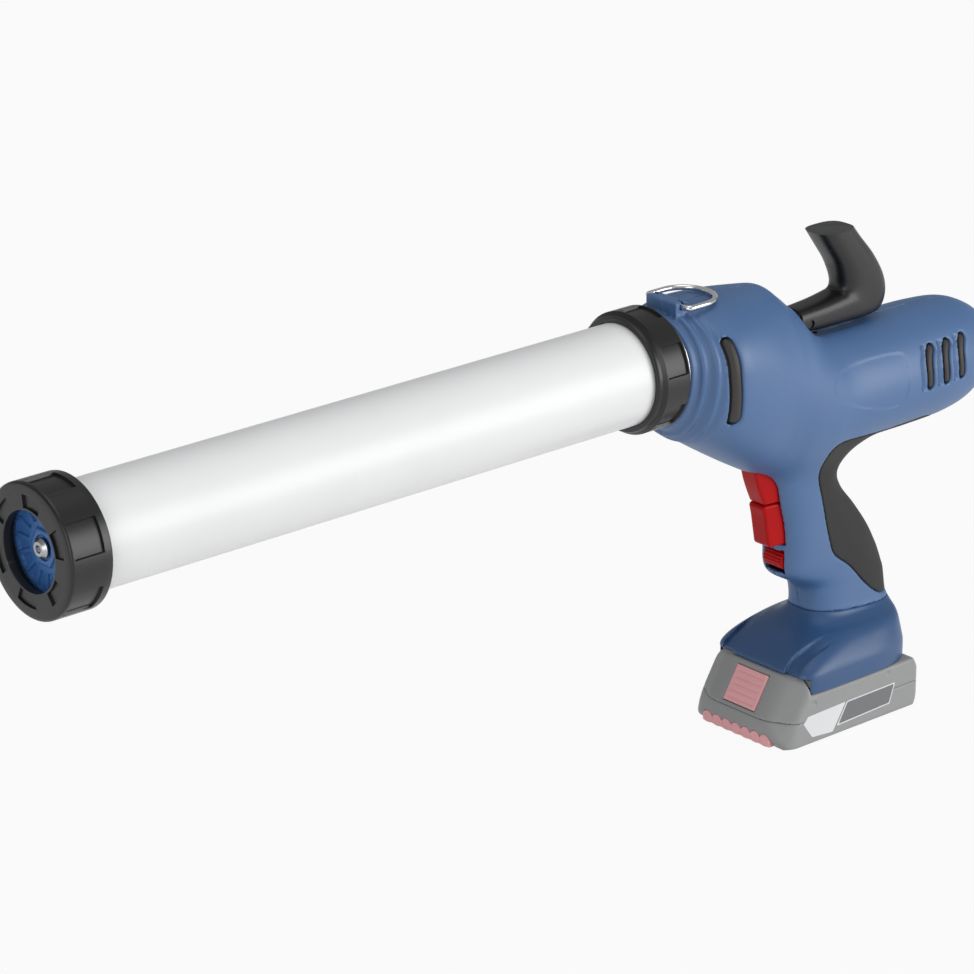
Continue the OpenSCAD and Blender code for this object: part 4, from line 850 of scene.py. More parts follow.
def battery_tray(cell):
    """The battery's lower case, with the seat of the ridge strip and a screw recess in each front corner."""
    def field(x, y, z):
        side = np.abs(y)
        shape = battery_form(x, y, z)
        f = smooth_max(shape, z - BATTERY_SPLIT + 0.1, 0.6)
        f = smooth_max(f, -np.maximum(shape + 2.4, BATTERY_BASE + 2.4 - z), 0.5)
        f = np.maximum(f, -ridge_form(x, y, z, 0.12))
        corner = np.hypot(x - 476.0, side - 31.5) - 3.0
        return smooth_max(f, -np.maximum(corner, z - BATTERY_BASE - 1.5), 0.5)
    low = (BATTERY_FRONT - 1.5, -BATTERY_HALF - 1.5, BATTERY_BASE - 1.5)
    return netted(field, low, (BATTERY_BACK + 1.5, BATTERY_HALF + 1.5, BATTERY_SPLIT + 1.5), cell)


def release_button(cell):
    """The release button: a slab along the slope with rounded edges and grooves across it."""
    def field(x, y, z):
        out, level, down = button_local(x, y, z)
        f = box(out, level, down, (-2.9, -11.5, -9.9), (0.3, 11.5, 9.9)) - 0.5
        f = np.minimum(f, box(out, level, down, (-3.4, -6.0, -4.0), (-2.0, 6.0, 4.0)))
        for i in range(5):
            groove = np.hypot(out - 1.0, down + 7.7 - i * 3.8) - 0.75
            f = smooth_max(f, -np.maximum(groove, np.abs(level) - 10.0), 0.3)
        return f
    return netted(field, (462.0, -13.5, -217.0), (485.0, 13.5, -192.0), cell)


# Round parts

def panel_cut(angles):
    """1 inside every second of the grip panels and 0 between them, with short flanks."""
    phase = (angles - PANEL_START) % (2 * PANEL_PITCH)
    from_edge = np.minimum(phase, PANEL_PITCH - phase)
    return np.clip(from_edge / PANEL_FLANK + 0.5, 0, 1)


def panel_angles(per_panel):
    """Angles round the axis, close together at the panels' flanks and even between them."""
    flank = PANEL_FLANK / 2
    even = np.linspace(flank, PANEL_PITCH - flank, per_panel)[:-1]
    steps = np.concatenate([[-flank, -flank / 3, flank / 3], even])
    return (PANEL_START + np.arange(PANELS)[:, None] * PANEL_PITCH + steps[None]).ravel()


def paneled(profile, radius, first, last, depth, per_panel=14, face=None):
    """A turned part whose outer wall sinks by the depth in every second panel between two places; face gives
    the inner radius, outer radius and depth of matching pockets in its front."""
    def change(x, r, angles):
        cut = panel_cut(angles)[None]
        inside = (x > first) & (x < last) & (r > radius - 0.4)
        if face:
            low, high, sink = face
            pocket = (x < 0.6 + profile[:, 0].min()) & (r > low) & (r < high)
            x = x + sink * cut * pocket
        return x, r - depth * cut * inside
    return turned(profile, panel_angles(per_panel), change)


def front_cap(sizes):
    """The cap: its wall, front and bore turned about the axis, with sunk panels and front pockets."""
    r = CAP_HIGH[1]
    length = CAP_HIGH[0]
    d = sizes.panel_depth
    lo, hi = 2.3, 19.2
    profile = np.array([
        [4.0, 20.2], [0.35, 20.2], [0.1, 20.3], [0.0, 20.6], [0.0, 21.4], [0.0, 21.55], [0.0, 27.9],
        [0.0, 28.1], [0.0, r - 1.6], [0.12, r - 1.1], [0.45, r - 0.5], [1.0, r - 0.1], [1.5, r],
        [lo - 0.15, r], [lo + 0.15, r], [6.0, r], [10.0, r], [14.0, r], [hi - 0.15, r], [hi + 0.15, r],
        [length - 1.2, r], [length - 0.6, r - 0.15], [length - 0.15, r - 0.6], [length, r - 1.3],
        [length, 28.4], [length - 0.2, 27.95], [length - 0.5, 27.8], [4.3, 27.8], [4.0, 27.5],
        [4.0, 25.6], [8.9, 25.6], [9.0, 25.5], [9.0, 24.6], [8.9, 24.5], [4.0, 24.5],
    ])
    return paneled(profile, r, lo, hi, d, face=(21.5, 28.0, 1.2))


def union_nut(sizes):
    """The nut: a turned wall with a front shoulder and a rear step, and sunk panels."""
    r = NUT_HIGH[1]
    start, end = NUT_LOW[0], NUT_HIGH[0]
    back = end - 2.2
    lo, hi = start + 5.3, back - 0.4
    profile = np.array([
        [start + 0.25, 27.8], [start, 28.05], [start, r - 2.9], [start + 0.1, r - 2.5],
        [start + 0.5, r - 2.15], [start + 1.0, r - 2.0], [start + 3.0, r - 2.0], [start + 3.6, r - 1.4],
        [start + 4.2, r - 0.4], [start + 4.6, r], [lo - 0.15, r], [lo + 0.15, r], [start + 9, r],
        [start + 14, r], [hi - 0.15, r], [hi + 0.15, r], [back, r], [back + 0.3, r - 0.15],
        [back + 1.1, r - 1.4], [back + 1.3, r - 1.6], [end - 0.3, r - 1.6], [end, r - 1.9], [end, 29.6],
        [end - 0.3, 29.3], [start + 3.4, 29.3], [start + 3.4, 27.8],
    ])
    return paneled(profile, r, lo, hi, sizes.panel_depth)


def barrel_tube():
    """The barrel: a turned tube with rounded ends, thread grooves at the front and the flange behind."""
    front, end = TUBE_LOW[0], TUBE_HIGH[0]
    flange = TUBE_HIGH[1]
    outer = [[front, BARREL_IN + 0.3], [front, BARREL_R - 0.3], [front + 0.3, BARREL_R]]
    root = BARREL_R - 0.4
    for start in np.arange(7.0, 20.0, 3.0):
        outer += [[start, BARREL_R], [start + 0.1, root], [start + 0.9, root], [start + 1, BARREL_R]]
    outer += [[x, BARREL_R] for x in np.linspace(22, end - FLANGE_W, 24)]
    outer += [
        [end - FLANGE_W + 0.02, flange - 0.2], [end - FLANGE_W + 0.2, flange], [end - 0.2, flange],
        [end, flange - 0.2], [end, BARREL_IN + 0.3], [end - 0.3, BARREL_IN],
    ]
    outer += [[x, BARREL_IN] for x in np.linspace(end - 8, front + 8, 16)] + [[front + 0.3, BARREL_IN]]
    return turned(np.array(outer), full_turn(160))


def barrel_socket():
    """The socket: a turned sleeve with a thread under the nut, a bright shoulder and a neck in the nose."""
    front, back = SOCKET_LOW[0], SOCKET_HIGH[0]
    thread, bore, shoulder = SOCKET_HIGH[1], 24.0, 28.9
    root = thread - 0.6
    profile = [[front, bore + 0.3], [front, thread - 1.0], [front + 0.4, root]]
    for start in np.arange(front + 2.0, 393.0, 3.0):
        profile += [[start, root], [start + 0.1, thread], [start + 1.1, thread], [start + 1.2, root]]
    profile += [
        [396.0, root], [396.2, thread - 0.8], [396.4, shoulder], [398.5, shoulder],
        [398.8, shoulder - 0.3], [398.9, SOCKET_NECK + 0.2], [399.1, SOCKET_NECK],
        [back - 0.2, SOCKET_NECK], [back, SOCKET_NECK - 0.2], [back, bore + 0.3], [back - 0.3, bore],
        [front + 0.3, bore],
    ]
    return turned(np.array(profile), full_turn(144))


def piston_body():
    """The piston: a cup with a ribbed front face round its six-sided boss, and the groove of its seal."""
    front, back = PISTON_LOW[0] + 1.6, PISTON_HIGH[0]
    r = PISTON_HIGH[1]

    def field(x, y, z):
        radius = np.hypot(y, z)
        f = np.maximum(radius - r, np.abs(x - (front + back) / 2) - (back - front) / 2)
        cup = np.maximum(np.maximum(radius - r + 3, 10.5 - radius), front + 4 - x)
        f = smooth_max(f, -cup, 0.8)
        seal = np.maximum(np.abs(x - front - 13) - 2.02, r - 2.4 - radius)
        f = np.maximum(f, -seal)
        angle = np.arctan2(z, y)
        spoke = np.abs((angle / (math.pi / 8) + 0.5) % 1 - 0.5) * math.pi / 8 * radius
        pocket = smooth_max(smooth_max(13.2 - radius, radius - r + 2.2, 0.5), 1.0 - spoke, 0.5)
        f = smooth_max(f, -smooth_max(pocket, x - front - 1.6, 0.3), 0.4)
        sector = (angle % (math.pi / 3)) - math.pi / 6
        hexagon = radius * np.cos(sector) - 9.1
        boss = smooth_max(hexagon - 0.45 * (x - front), PISTON_LOW[0] - x, 0.4)
        boss = smooth_max(boss, -np.maximum(radius - 6.4, x - front - 0.2), 0.3)
        f = smooth_min(f, np.maximum(boss, x - front - 1), 0.5)
        f = np.maximum(f, -np.maximum(radius - 3.02, x - front - 5))
        rod = np.maximum(np.abs(y) - 6.02, np.abs(z) - 5.52)
        return np.maximum(f, -np.maximum(rod, front + 4 - x))
    out = r + 1.2
    return netted(field, (PISTON_LOW[0] - 1, -out, -out), (back + 1.2, out, out), PISTON_CELL)


def hanging_ring():
    """The wire ring: out of the block, round a bend, back along both legs and round a half circle."""
    half, bend, leg = 16.0, 2.5, 12.0
    quarter = np.linspace(0, math.pi / 2, 9)[:, None]
    around = np.linspace(0, math.pi, 41)[:, None]
    start = [[0.0, 8.0], [0.0, half - bend - 1.5]]
    corner = np.hstack([bend - bend * np.cos(quarter), half - bend + bend * np.sin(quarter)])
    arc = np.hstack([leg + half * np.sin(around), half * np.cos(around)])
    path = np.concatenate([start, corner, arc, corner[::-1] * [1, -1], np.array(start)[::-1] * [1, -1]])
    flat = np.hstack([path[:, :1] + RING_X, path[:, 1:], np.full((len(path), 1), RING_Z)])
    return tube(flat, RING_WIRE, 20)


def hook_handle():
    """The hook: ovals across the line between its inner and outer edges, cut level at the tip."""
    rows = filled(HOOK_KEYS, 10)
    a = full_turn(72)[None]
    power = 2 / 2.9
    wide = np.sign(np.cos(a)) * np.abs(np.cos(a)) ** power
    deep = 0.5 * np.sign(np.sin(a)) * np.abs(np.sin(a)) ** power
    inner_x, inner_z, outer_x, outer_z, half = (c[:, None] for c in rows.T)
    rings = np.stack([
        (inner_x + outer_x) / 2 + deep * (inner_x - outer_x),
        half * wide,
        (inner_z + outer_z) / 2 + deep * (inner_z - outer_z),
    ], -1)
    mesh = mesh_of("hook", *lofted(rings))
    tidy_mesh(mesh)
    slot = block((470, -6.02, -5.52), (513.02, 6.02, 5.52))
    bolt = turned(np.array([[-30.0, 0.01], [-30.0, 2.5], [30.0, 2.5], [30.0, 0.01]]), full_turn(32))
    bolt = (bolt[0][:, [1, 0, 2]] * [-1, 1, 1] + [507, 0, 0], bolt[1])
    return carved(mesh, [block((440, -40, HOOK_HIGH[2]), (620, 40, 90)), slot, bolt])


def trigger(outline, spring_z, cell):
    """A trigger: its side outline, met with its plan that widens behind the face, with rounded edges."""
    def field(x, y, z):
        side = np.abs(y)
        f = outline_distance(x, z, outline)
        face = np.interp(-z, TRIGGER_FACE[:, 1], TRIGGER_FACE[:, 0])
        narrow = side - 6.0 - 0.16 * (x - face)
        f = smooth_max(f, np.maximum(side - TRIGGER_HALF, narrow), 1.6)
        pocket = np.maximum(np.hypot(y, z - spring_z) - 3.0, 491.0 - x)
        return np.maximum(f, -pocket)
    low, high = outline.min(0), outline.max(0)
    return netted(field, (low[0] - 1, -9.0, low[1] - 1), (high[0] + 1, 9.0, high[1] + 1), cell)


def speed_dial():
    """The dial: a drum across the tool, with 16 rounded ribs and a hole for its pin."""
    def field(x, y, z):
        radius = np.hypot(x - DIAL_X, z - DIAL_Z)
        angle = np.arctan2(z - DIAL_Z, x - DIAL_X)
        ribs = 0.6 * np.abs(np.sin(8 * angle)) ** 0.8
        f = smooth_max(radius - 4.7 - ribs, np.abs(y) - 7.0, 0.5)
        return np.maximum(f, 2.04 - radius)
    return netted(field, (DIAL_X - 8, -8.0, DIAL_Z - 8), (DIAL_X + 8, 8.0, DIAL_Z + 8), DIAL_CELL)


def side_plate(outline, side, surface, thickness=0.14):
    """A thin printed plate on a flat side of the battery."""
    ring = np.asarray(outline, float)
    n = len(ring)
    y = np.full((n, 1), side * surface)
    inner = np.hstack([ring[:, :1], y - side * 0.3, ring[:, 1:]])
    outer = np.hstack([ring[:, :1], y + side * thickness, ring[:, 1:]])
    loop = np.arange(n)
    sides = np.stack([loop, (loop + 1) % n, n + (loop + 1) % n, n + loop], 1)
    return np.concatenate([inner, outer]), [sides, loop[None, ::-1], n + loop[None]]


# Materials

def linear(red, green, blue):
    """A colour given as 0 to 255 on screen, in the linear values that a shader takes."""
    shares = (c / 255 for c in (red, green, blue))
    return tuple(c / 12.92 if c <= 0.04 else ((c + 0.055) / 1.055) ** 2.4 for c in shares)


def added(tree, kind, **values):
    """A new shader node with the values given for its sockets, named with _ for a space."""
    node = tree.nodes.new("ShaderNode" + kind)
    for socket, value in values.items():
        node.inputs[socket.replace("_", " ")].default_value = value
    return node


def wired(tree, *wires):
    """Links an output to an input in each pair, given as node, socket, node, socket."""
    for source, output, target, socket in wires:
        tree.links.new(source.outputs[output], target.inputs[socket])


def finish(name, colour, rough, metal=0.0, grain=1400.0, relief=0.00003, drift=0.05, wear=0.0,
           stretch=(1.0, 1.0, 1.0), **sockets):
    """A material whose colour drifts softly, whose roughness varies a little and whose skin carries a fine
    grain, all from noise on Object coordinates; a painted highlight lightens its convex edges."""
    material = bpy.data.materials.new(name)
    material.use_nodes = True
    tree = material.node_tree
    shader = tree.nodes["Principled BSDF"]
    for socket, value in {"Metallic": metal, **sockets}.items():
        shader.inputs[socket.replace("_", " ")].default_value = value
    place = added(tree, "TexCoord")
    clouds = added(tree, "TexNoise", Scale=CLOUD_SCALE, Detail=4.0)
    ramp = added(tree, "ValToRGB")
    for element, at, share in zip(ramp.color_ramp.elements, (0.3, 0.7), (1 - drift, 1 + drift)):
        element.position = at
        element.color = (*[min(1, c * share) for c in colour], 1)
    wired(tree, (place, "Object", clouds, "Vector"), (clouds, "Fac", ramp, "Fac"))
    # Painted highlight: the convex edges, found by their pointiness, are lightened towards a whitish colour.
    if wear:
        point = added(tree, "NewGeometry")
        edge = added(tree, "MapRange", From_Min=0.53, From_Max=0.62, To_Max=wear)
        lighter = added(tree, "Mix")
        lighter.data_type = "RGBA"
        lighter.inputs["B"].default_value = (*[min(1, c * 1.3 + 0.12) for c in colour], 1)
        wired(
            tree, (point, "Pointiness", edge, "Value"), (edge, "Result", lighter, "Factor"),
            (ramp, "Color", lighter, "A"), (lighter, "Result", shader, "Base Color"),
        )
    else:
        wired(tree, (ramp, "Color", shader, "Base Color"))
    mapping = added(tree, "Mapping", Scale=stretch)
    fine = added(tree, "TexNoise", Scale=grain, Detail=2.0)
    raised = added(tree, "Bump", Strength=1.0, Distance=relief)
    low, high = max(0.02, rough - ROUGH_SPREAD), min(1.0, rough + ROUGH_SPREAD)
    vary = added(tree, "MapRange", To_Min=low, To_Max=high)
    wired(
        tree, (place, "Object", mapping, "Vector"), (mapping, "Vector", fine, "Vector"),
        (fine, "Fac", raised, "Height"), (raised, "Normal", shader, "Normal"),
        (fine, "Fac", vary, "Value"), (vary, "Result", shader, "Roughness"),
    )
    return material


CLOUD_SCALE = 22.0
ROUGH_SPREAD = 0.05
BRUSHED = {"metal": 1.0, "grain": 300.0, "relief": 0.000004, "stretch": (1.0, 14.0, 14.0)}
# Each finish: a named colour setting or a colour on screen, the roughness, and what differs from the usual
# The value that lightens a finish's convex edges sets a painted highlight there.
FINISHES = {
    "barrel_white": ("barrel", 0.42, {
        "grain": 600.0, "relief": 0.00001, "drift": 0.012, "Coat_Weight": 0.15, "Coat_Roughness": 0.3,
    }),
    "black_plastic": ("black", 0.36, {"grain": 1700.0, "relief": 0.00002, "drift": 0.08, "wear": 0.3}),
    "hook_black": ("hook", 0.38, {"grain": 1300.0, "drift": 0.08, "wear": 0.12}),
    "blue_plastic": ("housing", 0.5, {
        "grain": 1500.0, "drift": 0.03, "wear": 0.12, "Specular_IOR_Level": 0.9,
    }),
    "foot_blue": ("foot", 0.42, {
        "grain": 1500.0, "relief": 0.000015, "drift": 0.03, "wear": 0.2, "Specular_IOR_Level": 0.6,
    }),
    "grip_rubber": ("rubber", 0.72, {"grain": 1100.0, "relief": 0.00006, "drift": 0.06}),
    "slot_black": ("insert", 0.55, {"grain": 1500.0, "drift": 0.06}),
    "red_plastic": ("trigger", 0.34, {
        "grain": 1500.0, "relief": 0.00002, "drift": 0.04, "wear": 0.1, "Specular_IOR_Level": 0.15,
    }),
    "bright_wire": ((226, 226, 226), 0.2, {"drift": 0.03, **BRUSHED}),
    "steel": ((176, 177, 179), 0.34, BRUSHED),
    "dark_steel": ((62, 62, 64), 0.45, {"drift": 0.08, **BRUSHED}),
    "cast_aluminium": ((158, 160, 163), 0.55, {
        "metal": 1.0, "grain": 500.0, "relief": 0.00008, "drift": 0.06,
    }),
    "bright_aluminium": ((208, 209, 211), 0.26, {"drift": 0.03, **BRUSHED}),
    "bronze": ((176, 134, 78), 0.4, {"metal": 1.0, "grain": 700.0, "drift": 0.1}),
    "copper": ((178, 104, 64), 0.35, {
        "metal": 1.0, "grain": 900.0, "relief": 0.00004, "drift": 0.12, "stretch": (1.0, 12.0, 12.0),
    }),
    "magnet_grey": ((84, 80, 78), 0.6, {"grain": 900.0, "relief": 0.00004, "drift": 0.1}),
    "ivory_plastic": ((214, 208, 190), 0.5, {"drift": 0.04}),
    "piston_blue": ("piston", 0.4, {"grain": 1200.0, "wear": 0.2}),
    "seal_black": ((30, 30, 31), 0.6, {"grain": 900.0, "relief": 0.00004, "drift": 0.08}),
    "board_green": ((34, 92, 58), 0.4, {"grain": 500.0, "relief": 0.00002, "drift": 0.1}),
    "carbon_black": ((44, 43, 43), 0.7, {"grain": 900.0, "relief": 0.00005, "drift": 0.12}),
    "battery_grey": ("battery", 0.5, {"grain": 1300.0, "relief": 0.00004, "drift": 0.04, "wear": 0.25}),
    "pink_red": ("button", 0.5, {"drift": 0.04, "wear": 0.2}),
    "cell_sleeve": ((92, 126, 156), 0.3, {"grain": 700.0, "relief": 0.00001, "drift": 0.04}),
    "label_white": ("label", 0.35, {"grain": 800.0, "relief": 0.000005, "drift": 0.015}),
    "label_dark": ((112, 114, 116), 0.35, {"grain": 800.0, "relief": 0.000005, "drift": 0.02}),
}
MATERIALS = {}


def material_for(slot):
    """The material of a finish slot, made once."""
    if slot not in FINISHES:
        raise RuntimeError("no finish is written for the slot " + slot)
    if slot not in MATERIALS:
        colour, rough, values = FINISHES[slot]
        named = isinstance(colour, str)
        shade = getattr(bpy.context.scene.caulk_colours, colour) if named else linear(*colour)
        MATERIALS[slot] = finish(slot, shade, rough, **values)
    return MATERIALS[slot]


def body_name(node):
    """The body that a frame node rides on."""
    return frame["nodes"][node]["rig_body"]


def stand_in(name, shape, slot, node, *more, **options):
    """A finished piece that takes the place of one or more frame nodes and rides with the first."""
    return piece(name, shape, material_for(slot), body_name(node), slot, (node, *more), **options)


def grown(name, shape, slot, node, crease=50.0):
    """A stand-in made of a netted or cut solid, whose faces already point outwards."""
    return stand_in(name, shape, slot, node, crease=crease, tidy=False)


# Stage

PHOTO_SIDE = 974.0
FOCAL_PIXELS = 4448.0
SENSOR = 36.0
CAMERA_PLACE = (-1.110997, -1.582313, 0.765081)
CAMERA_DOWN = 20.87
CAMERA_TURN = -41.4
FLOOR_REACH = ((-8, -8), (9, -8), (9, 9), (-8, 9))
FLOOR_DROP = 0.0005
LAMP_AIM = Vector((0.42, 0.0, -0.06))
# Lamps: name, place, width, power
LAMPS = (
    ("side_lamp", (1.5, -1.8, 0.3), 1.5, 31.5),
    ("front_lamp", (-1.8, -1.2, 0.5), 1.2, 14.0),
    ("top_lamp", (0.3, -0.2, 2.4), 1.6, 13.0),
)


def pale_ground():
    """The floor's material: matt for the light that falls on it, an even white to the eye and to gloss."""
    pale = bpy.data.materials.new("pale_floor")
    pale.use_nodes = True
    tree = pale.node_tree
    tree.nodes.clear()
    matt = added(tree, "BsdfDiffuse", Color=(0.75, 0.75, 0.75, 1))
    white = added(tree, "Emission", Color=(0.975, 0.975, 0.975, 1))
    rays = added(tree, "LightPath")
    either, share = added(tree, "Math"), added(tree, "Math")
    either.operation, share.operation = "MAXIMUM", "MULTIPLY"
    share.inputs[1].default_value = 0.96
    mix, out = added(tree, "MixShader"), added(tree, "OutputMaterial")
    wired(
        tree, (rays, "Is Camera Ray", either, 0), (rays, "Is Glossy Ray", either, 1),
        (either, "Value", share, 0), (share, "Value", mix, "Fac"), (matt, "BSDF", mix, 1),
        (white, "Emission", mix, 2), (mix, "Shader", out, "Surface"),
    )
    return pale


def studio_world():
    """A world that is an even white to the eye and a soft, slightly blue light on the object."""
    world = bpy.data.worlds.new("studio")
    world.use_nodes = True
    tree = world.node_tree
    tree.nodes.clear()
    rays = added(tree, "LightPath")
    seen = added(tree, "Background", Color=(0.97, 0.97, 0.97, 1), Strength=1.0)
    around = added(tree, "Background", Color=(0.97, 0.985, 1.0, 1), Strength=0.36)
    mix, out = added(tree, "MixShader"), added(tree, "OutputWorld")
    wired(
        tree, (rays, "Is Camera Ray", mix, "Fac"), (around, "Background", mix, 1),
        (seen, "Background", mix, 2), (mix, "Shader", out, "Surface"),
    )
    return world


# Settings

class ToolSizes(bpy.types.PropertyGroup):
    """Sizes of the moulded details, in millimetres."""
    edge_round: FloatProperty(name="Edge round", description="Rounding of the openings in the shells",
                              default=0.9)
    seam_round: FloatProperty(name="Seam round", description="Rounding where the two shells meet",
                              default=0.15)
    collar_ridge: FloatProperty(name="Collar ridge", description="Height of the rings of the collar",
                                default=1.0)
    ramp_depth: FloatProperty(name="Ramp depth", description="Depth of the slats in front of the vents",
                              default=2.6)
    badge_depth: FloatProperty(name="Badge depth", description="Depth of the bare recess on the tail",
                               default=0.45)
    scoop_end: FloatProperty(name="Scoop end", description="Place where the scoop under the hook ends",
                             default=546.0)
    grip_gap: FloatProperty(name="Grip gap", description="Gap between rubber and plastic", default=0.4)
    grip_sink: FloatProperty(name="Grip sink", description="How far the rubber lies below the skin",
                             default=0.0)
    panel_depth: FloatProperty(name="Panel depth", description="Depth of the sunk grip panels", default=1.3)
    shell_cell: FloatProperty(name="Shell cell", description="Cell of the grid that the shells are made on",
                              default=1.0)
    small_cell: FloatProperty(name="Small cell", description="Cell of the grid for the small pieces",
                              default=0.8)


class ToolColours(bpy.types.PropertyGroup):
    """Colours of the finishes that show."""
    housing: FloatVectorProperty(name="Housing", description="Blue of the shells", subtype="COLOR",
                                 default=linear(62, 100, 148))
    foot: FloatVectorProperty(name="Foot", description="Darker blue of the foot", subtype="COLOR",
                              default=linear(44, 80, 124))
    rubber: FloatVectorProperty(name="Rubber", description="Grey of the soft grip", subtype="COLOR",
                                default=linear(37, 36, 35))
    black: FloatVectorProperty(name="Black", description="Black of cap and nut", subtype="COLOR",
                               default=linear(20, 20, 21))
    hook: FloatVectorProperty(name="Hook", description="Black of the hook", subtype="COLOR",
                              default=linear(20, 20, 21))
    insert: FloatVectorProperty(name="Insert", description="Brown grey of the slot inserts", subtype="COLOR",
                                default=linear(50, 46, 42))
    trigger: FloatVectorProperty(name="Trigger", description="Red of triggers and dial", subtype="COLOR",
                                 default=linear(178, 10, 14))
    barrel: FloatVectorProperty(name="Barrel", description="White of the barrel", subtype="COLOR",
                                default=linear(236, 236, 236))
    piston: FloatVectorProperty(name="Piston", description="Blue of the piston", subtype="COLOR",
                                default=linear(63, 111, 174))
    battery: FloatVectorProperty(name="Battery", description="Grey of the battery case", subtype="COLOR",
                                 default=linear(150, 150, 150))
    button: FloatVectorProperty(name="Button", description="Pink red of button and strip", subtype="COLOR",
                                default=linear(240, 176, 178))
    label: FloatVectorProperty(name="Label", description="White of the blank label", subtype="COLOR",
                               default=linear(226, 226, 227))


def cell(size):
    """A grid cell size, times a factor of 1, which could be raised to make it coarser while trying things
    out.
    """
    return size * 1.0


# Operators

class CAULK_OT_housing(bpy.types.Operator):
    """Make both halves of the blue housing"""
    bl_idname = "caulk.housing"
    bl_label = "Housing halves"

    def execute(self, context):
        sizes = context.scene.caulk_sizes
        for side, node in ((-1, "left_housing"), (1, "right_housing")):
            shell = half_shell(side, sizes, cell(sizes.shell_cell))
            grown(node + "_skin", shell, "blue_plastic", node, 60.0)
        return {"FINISHED"}


class CAULK_OT_grips(bpy.types.Operator):
    """Make the rubber grip, one half on each shell"""
    bl_idname = "caulk.grips"
    bl_label = "Rubber grips"

    def execute(self, context):
        sizes = context.scene.caulk_sizes
        for side, node in ((-1, "left_grip"), (1, "right_grip")):
            shape = grip_half(side, sizes, cell(sizes.small_cell))
            grown(node + "_rubber", shape, "grip_rubber", node, 60.0)
        return {"FINISHED"}


class CAULK_OT_inserts(bpy.types.Operator):
    """Make the inserts of the hub slots and of the tail vents"""
    bl_idname = "caulk.inserts"
    bl_label = "Slot and vent inserts"

    def execute(self, context):
        small = cell(FINE_CELL)
        slots = joined([slot_insert(side, small) for side in (-1, 1)])
        grown("hub_slot_inserts", slots, "slot_black", "slot_trims", 60.0)
        vents = joined([vent_insert(side, small) for side in (-1, 1)])
        grown("tail_vent_inserts", vents, "slot_black", "vent_trims", 60.0)
        return {"FINISHED"}


class CAULK_OT_foot(bpy.types.Operator):
    """Make the foot that carries the battery"""
    bl_idname = "caulk.foot"
    bl_label = "Battery foot"

    def execute(self, context):
        sizes = context.scene.caulk_sizes
        shape = battery_foot(cell(sizes.small_cell))
        grown("foot_skin", shape, "foot_blue", "battery_foot", 60.0)
        return {"FINISHED"}


class CAULK_OT_barrel(bpy.types.Operator):
    """Make the barrel, its front cap and the union nut"""
    bl_idname = "caulk.barrel"
    bl_label = "Barrel, cap and nut"

    def execute(self, context):
        sizes = context.scene.caulk_sizes
        stand_in("barrel_skin", barrel_tube(), "barrel_white", "barrel_tube")
        stand_in("cap_skin", front_cap(sizes), "black_plastic", "front_cap", crease=30)
        stand_in("nut_skin", union_nut(sizes), "black_plastic", "union_nut", crease=30)
        return {"FINISHED"}


class CAULK_OT_socket(bpy.types.Operator):
    """Make the bright socket that shows between nut and body"""
    bl_idname = "caulk.socket"
    bl_label = "Barrel socket"

    def execute(self, context):
        stand_in("socket_ring", barrel_socket(), "bright_aluminium", "barrel_socket")
        return {"FINISHED"}


class CAULK_OT_piston(bpy.types.Operator):
    """Make the blue piston"""
    bl_idname = "caulk.piston"
    bl_label = "Piston"

    def execute(self, context):
        grown("piston_skin", piston_body(), "piston_blue", "piston")
        return {"FINISHED"}


class CAULK_OT_hook(bpy.types.Operator):
    """Make the hook at the rear of the push rod"""
    bl_idname = "caulk.hook"
    bl_label = "Hook"

    def execute(self, context):
        hook = grown("hook_skin", hook_handle(), "hook_black", "hook_handle", 45.0)
        bevel = hook.modifiers.new("edges", "BEVEL")
        bevel.width = 0.8 * MM
        bevel.segments = 3
        bevel.limit_method = "ANGLE"
        bevel.angle_limit = math.radians(45)
        return {"FINISHED"}


class CAULK_OT_ring(bpy.types.Operator):
    """Make the wire ring on top of the body"""
    bl_idname = "caulk.ring"
    bl_label = "Hanging ring"

    def execute(self, context):
        stand_in("ring_wire", hanging_ring(), "bright_wire", "hang_ring")
        return {"FINISHED"}


class CAULK_OT_triggers(bpy.types.Operator):
    """Make both triggers and the speed dial"""
    bl_idname = "caulk.triggers"
    bl_label = "Triggers and dial"

    def execute(self, context):
        rear, above, below = 497.0, TRIGGER_SEAM + TRIGGER_GAP, TRIGGER_SEAM - TRIGGER_GAP
        upper = rounded([
            [rear, TRIGGER_TOP], [470.2, TRIGGER_TOP], [472.2, -83.5], [475, -90.5],
            [477.6, TRIGGER_SEAM + 1.6], [478.2, above], [rear, above],
        ], [0.3, 1.0, 3.0, 3.0, 0.8, 0.8, 0.3])
        lower = rounded([
            [rear, below], [478.4, below], [477.2, TRIGGER_SEAM - 1.8], [478.8, -105], [480.4, -114],
            [481.8, -121.6], [482.8, TRIGGER_BOTTOM], [rear, TRIGGER_BOTTOM],
        ], [0.3, 0.9, 0.9, 3.0, 3.0, 0.8, 0.8, 0.3])
        for name, outline, spring in (("upper_trigger", upper, -90.0), ("lower_trigger", lower, -113.0)):
            shape = trigger(outline, spring, cell(FINE_CELL))
            grown(name + "_skin", shape, "red_plastic", name)
        grown("dial_skin", speed_dial(), "red_plastic", "speed_dial")
        return {"FINISHED"}


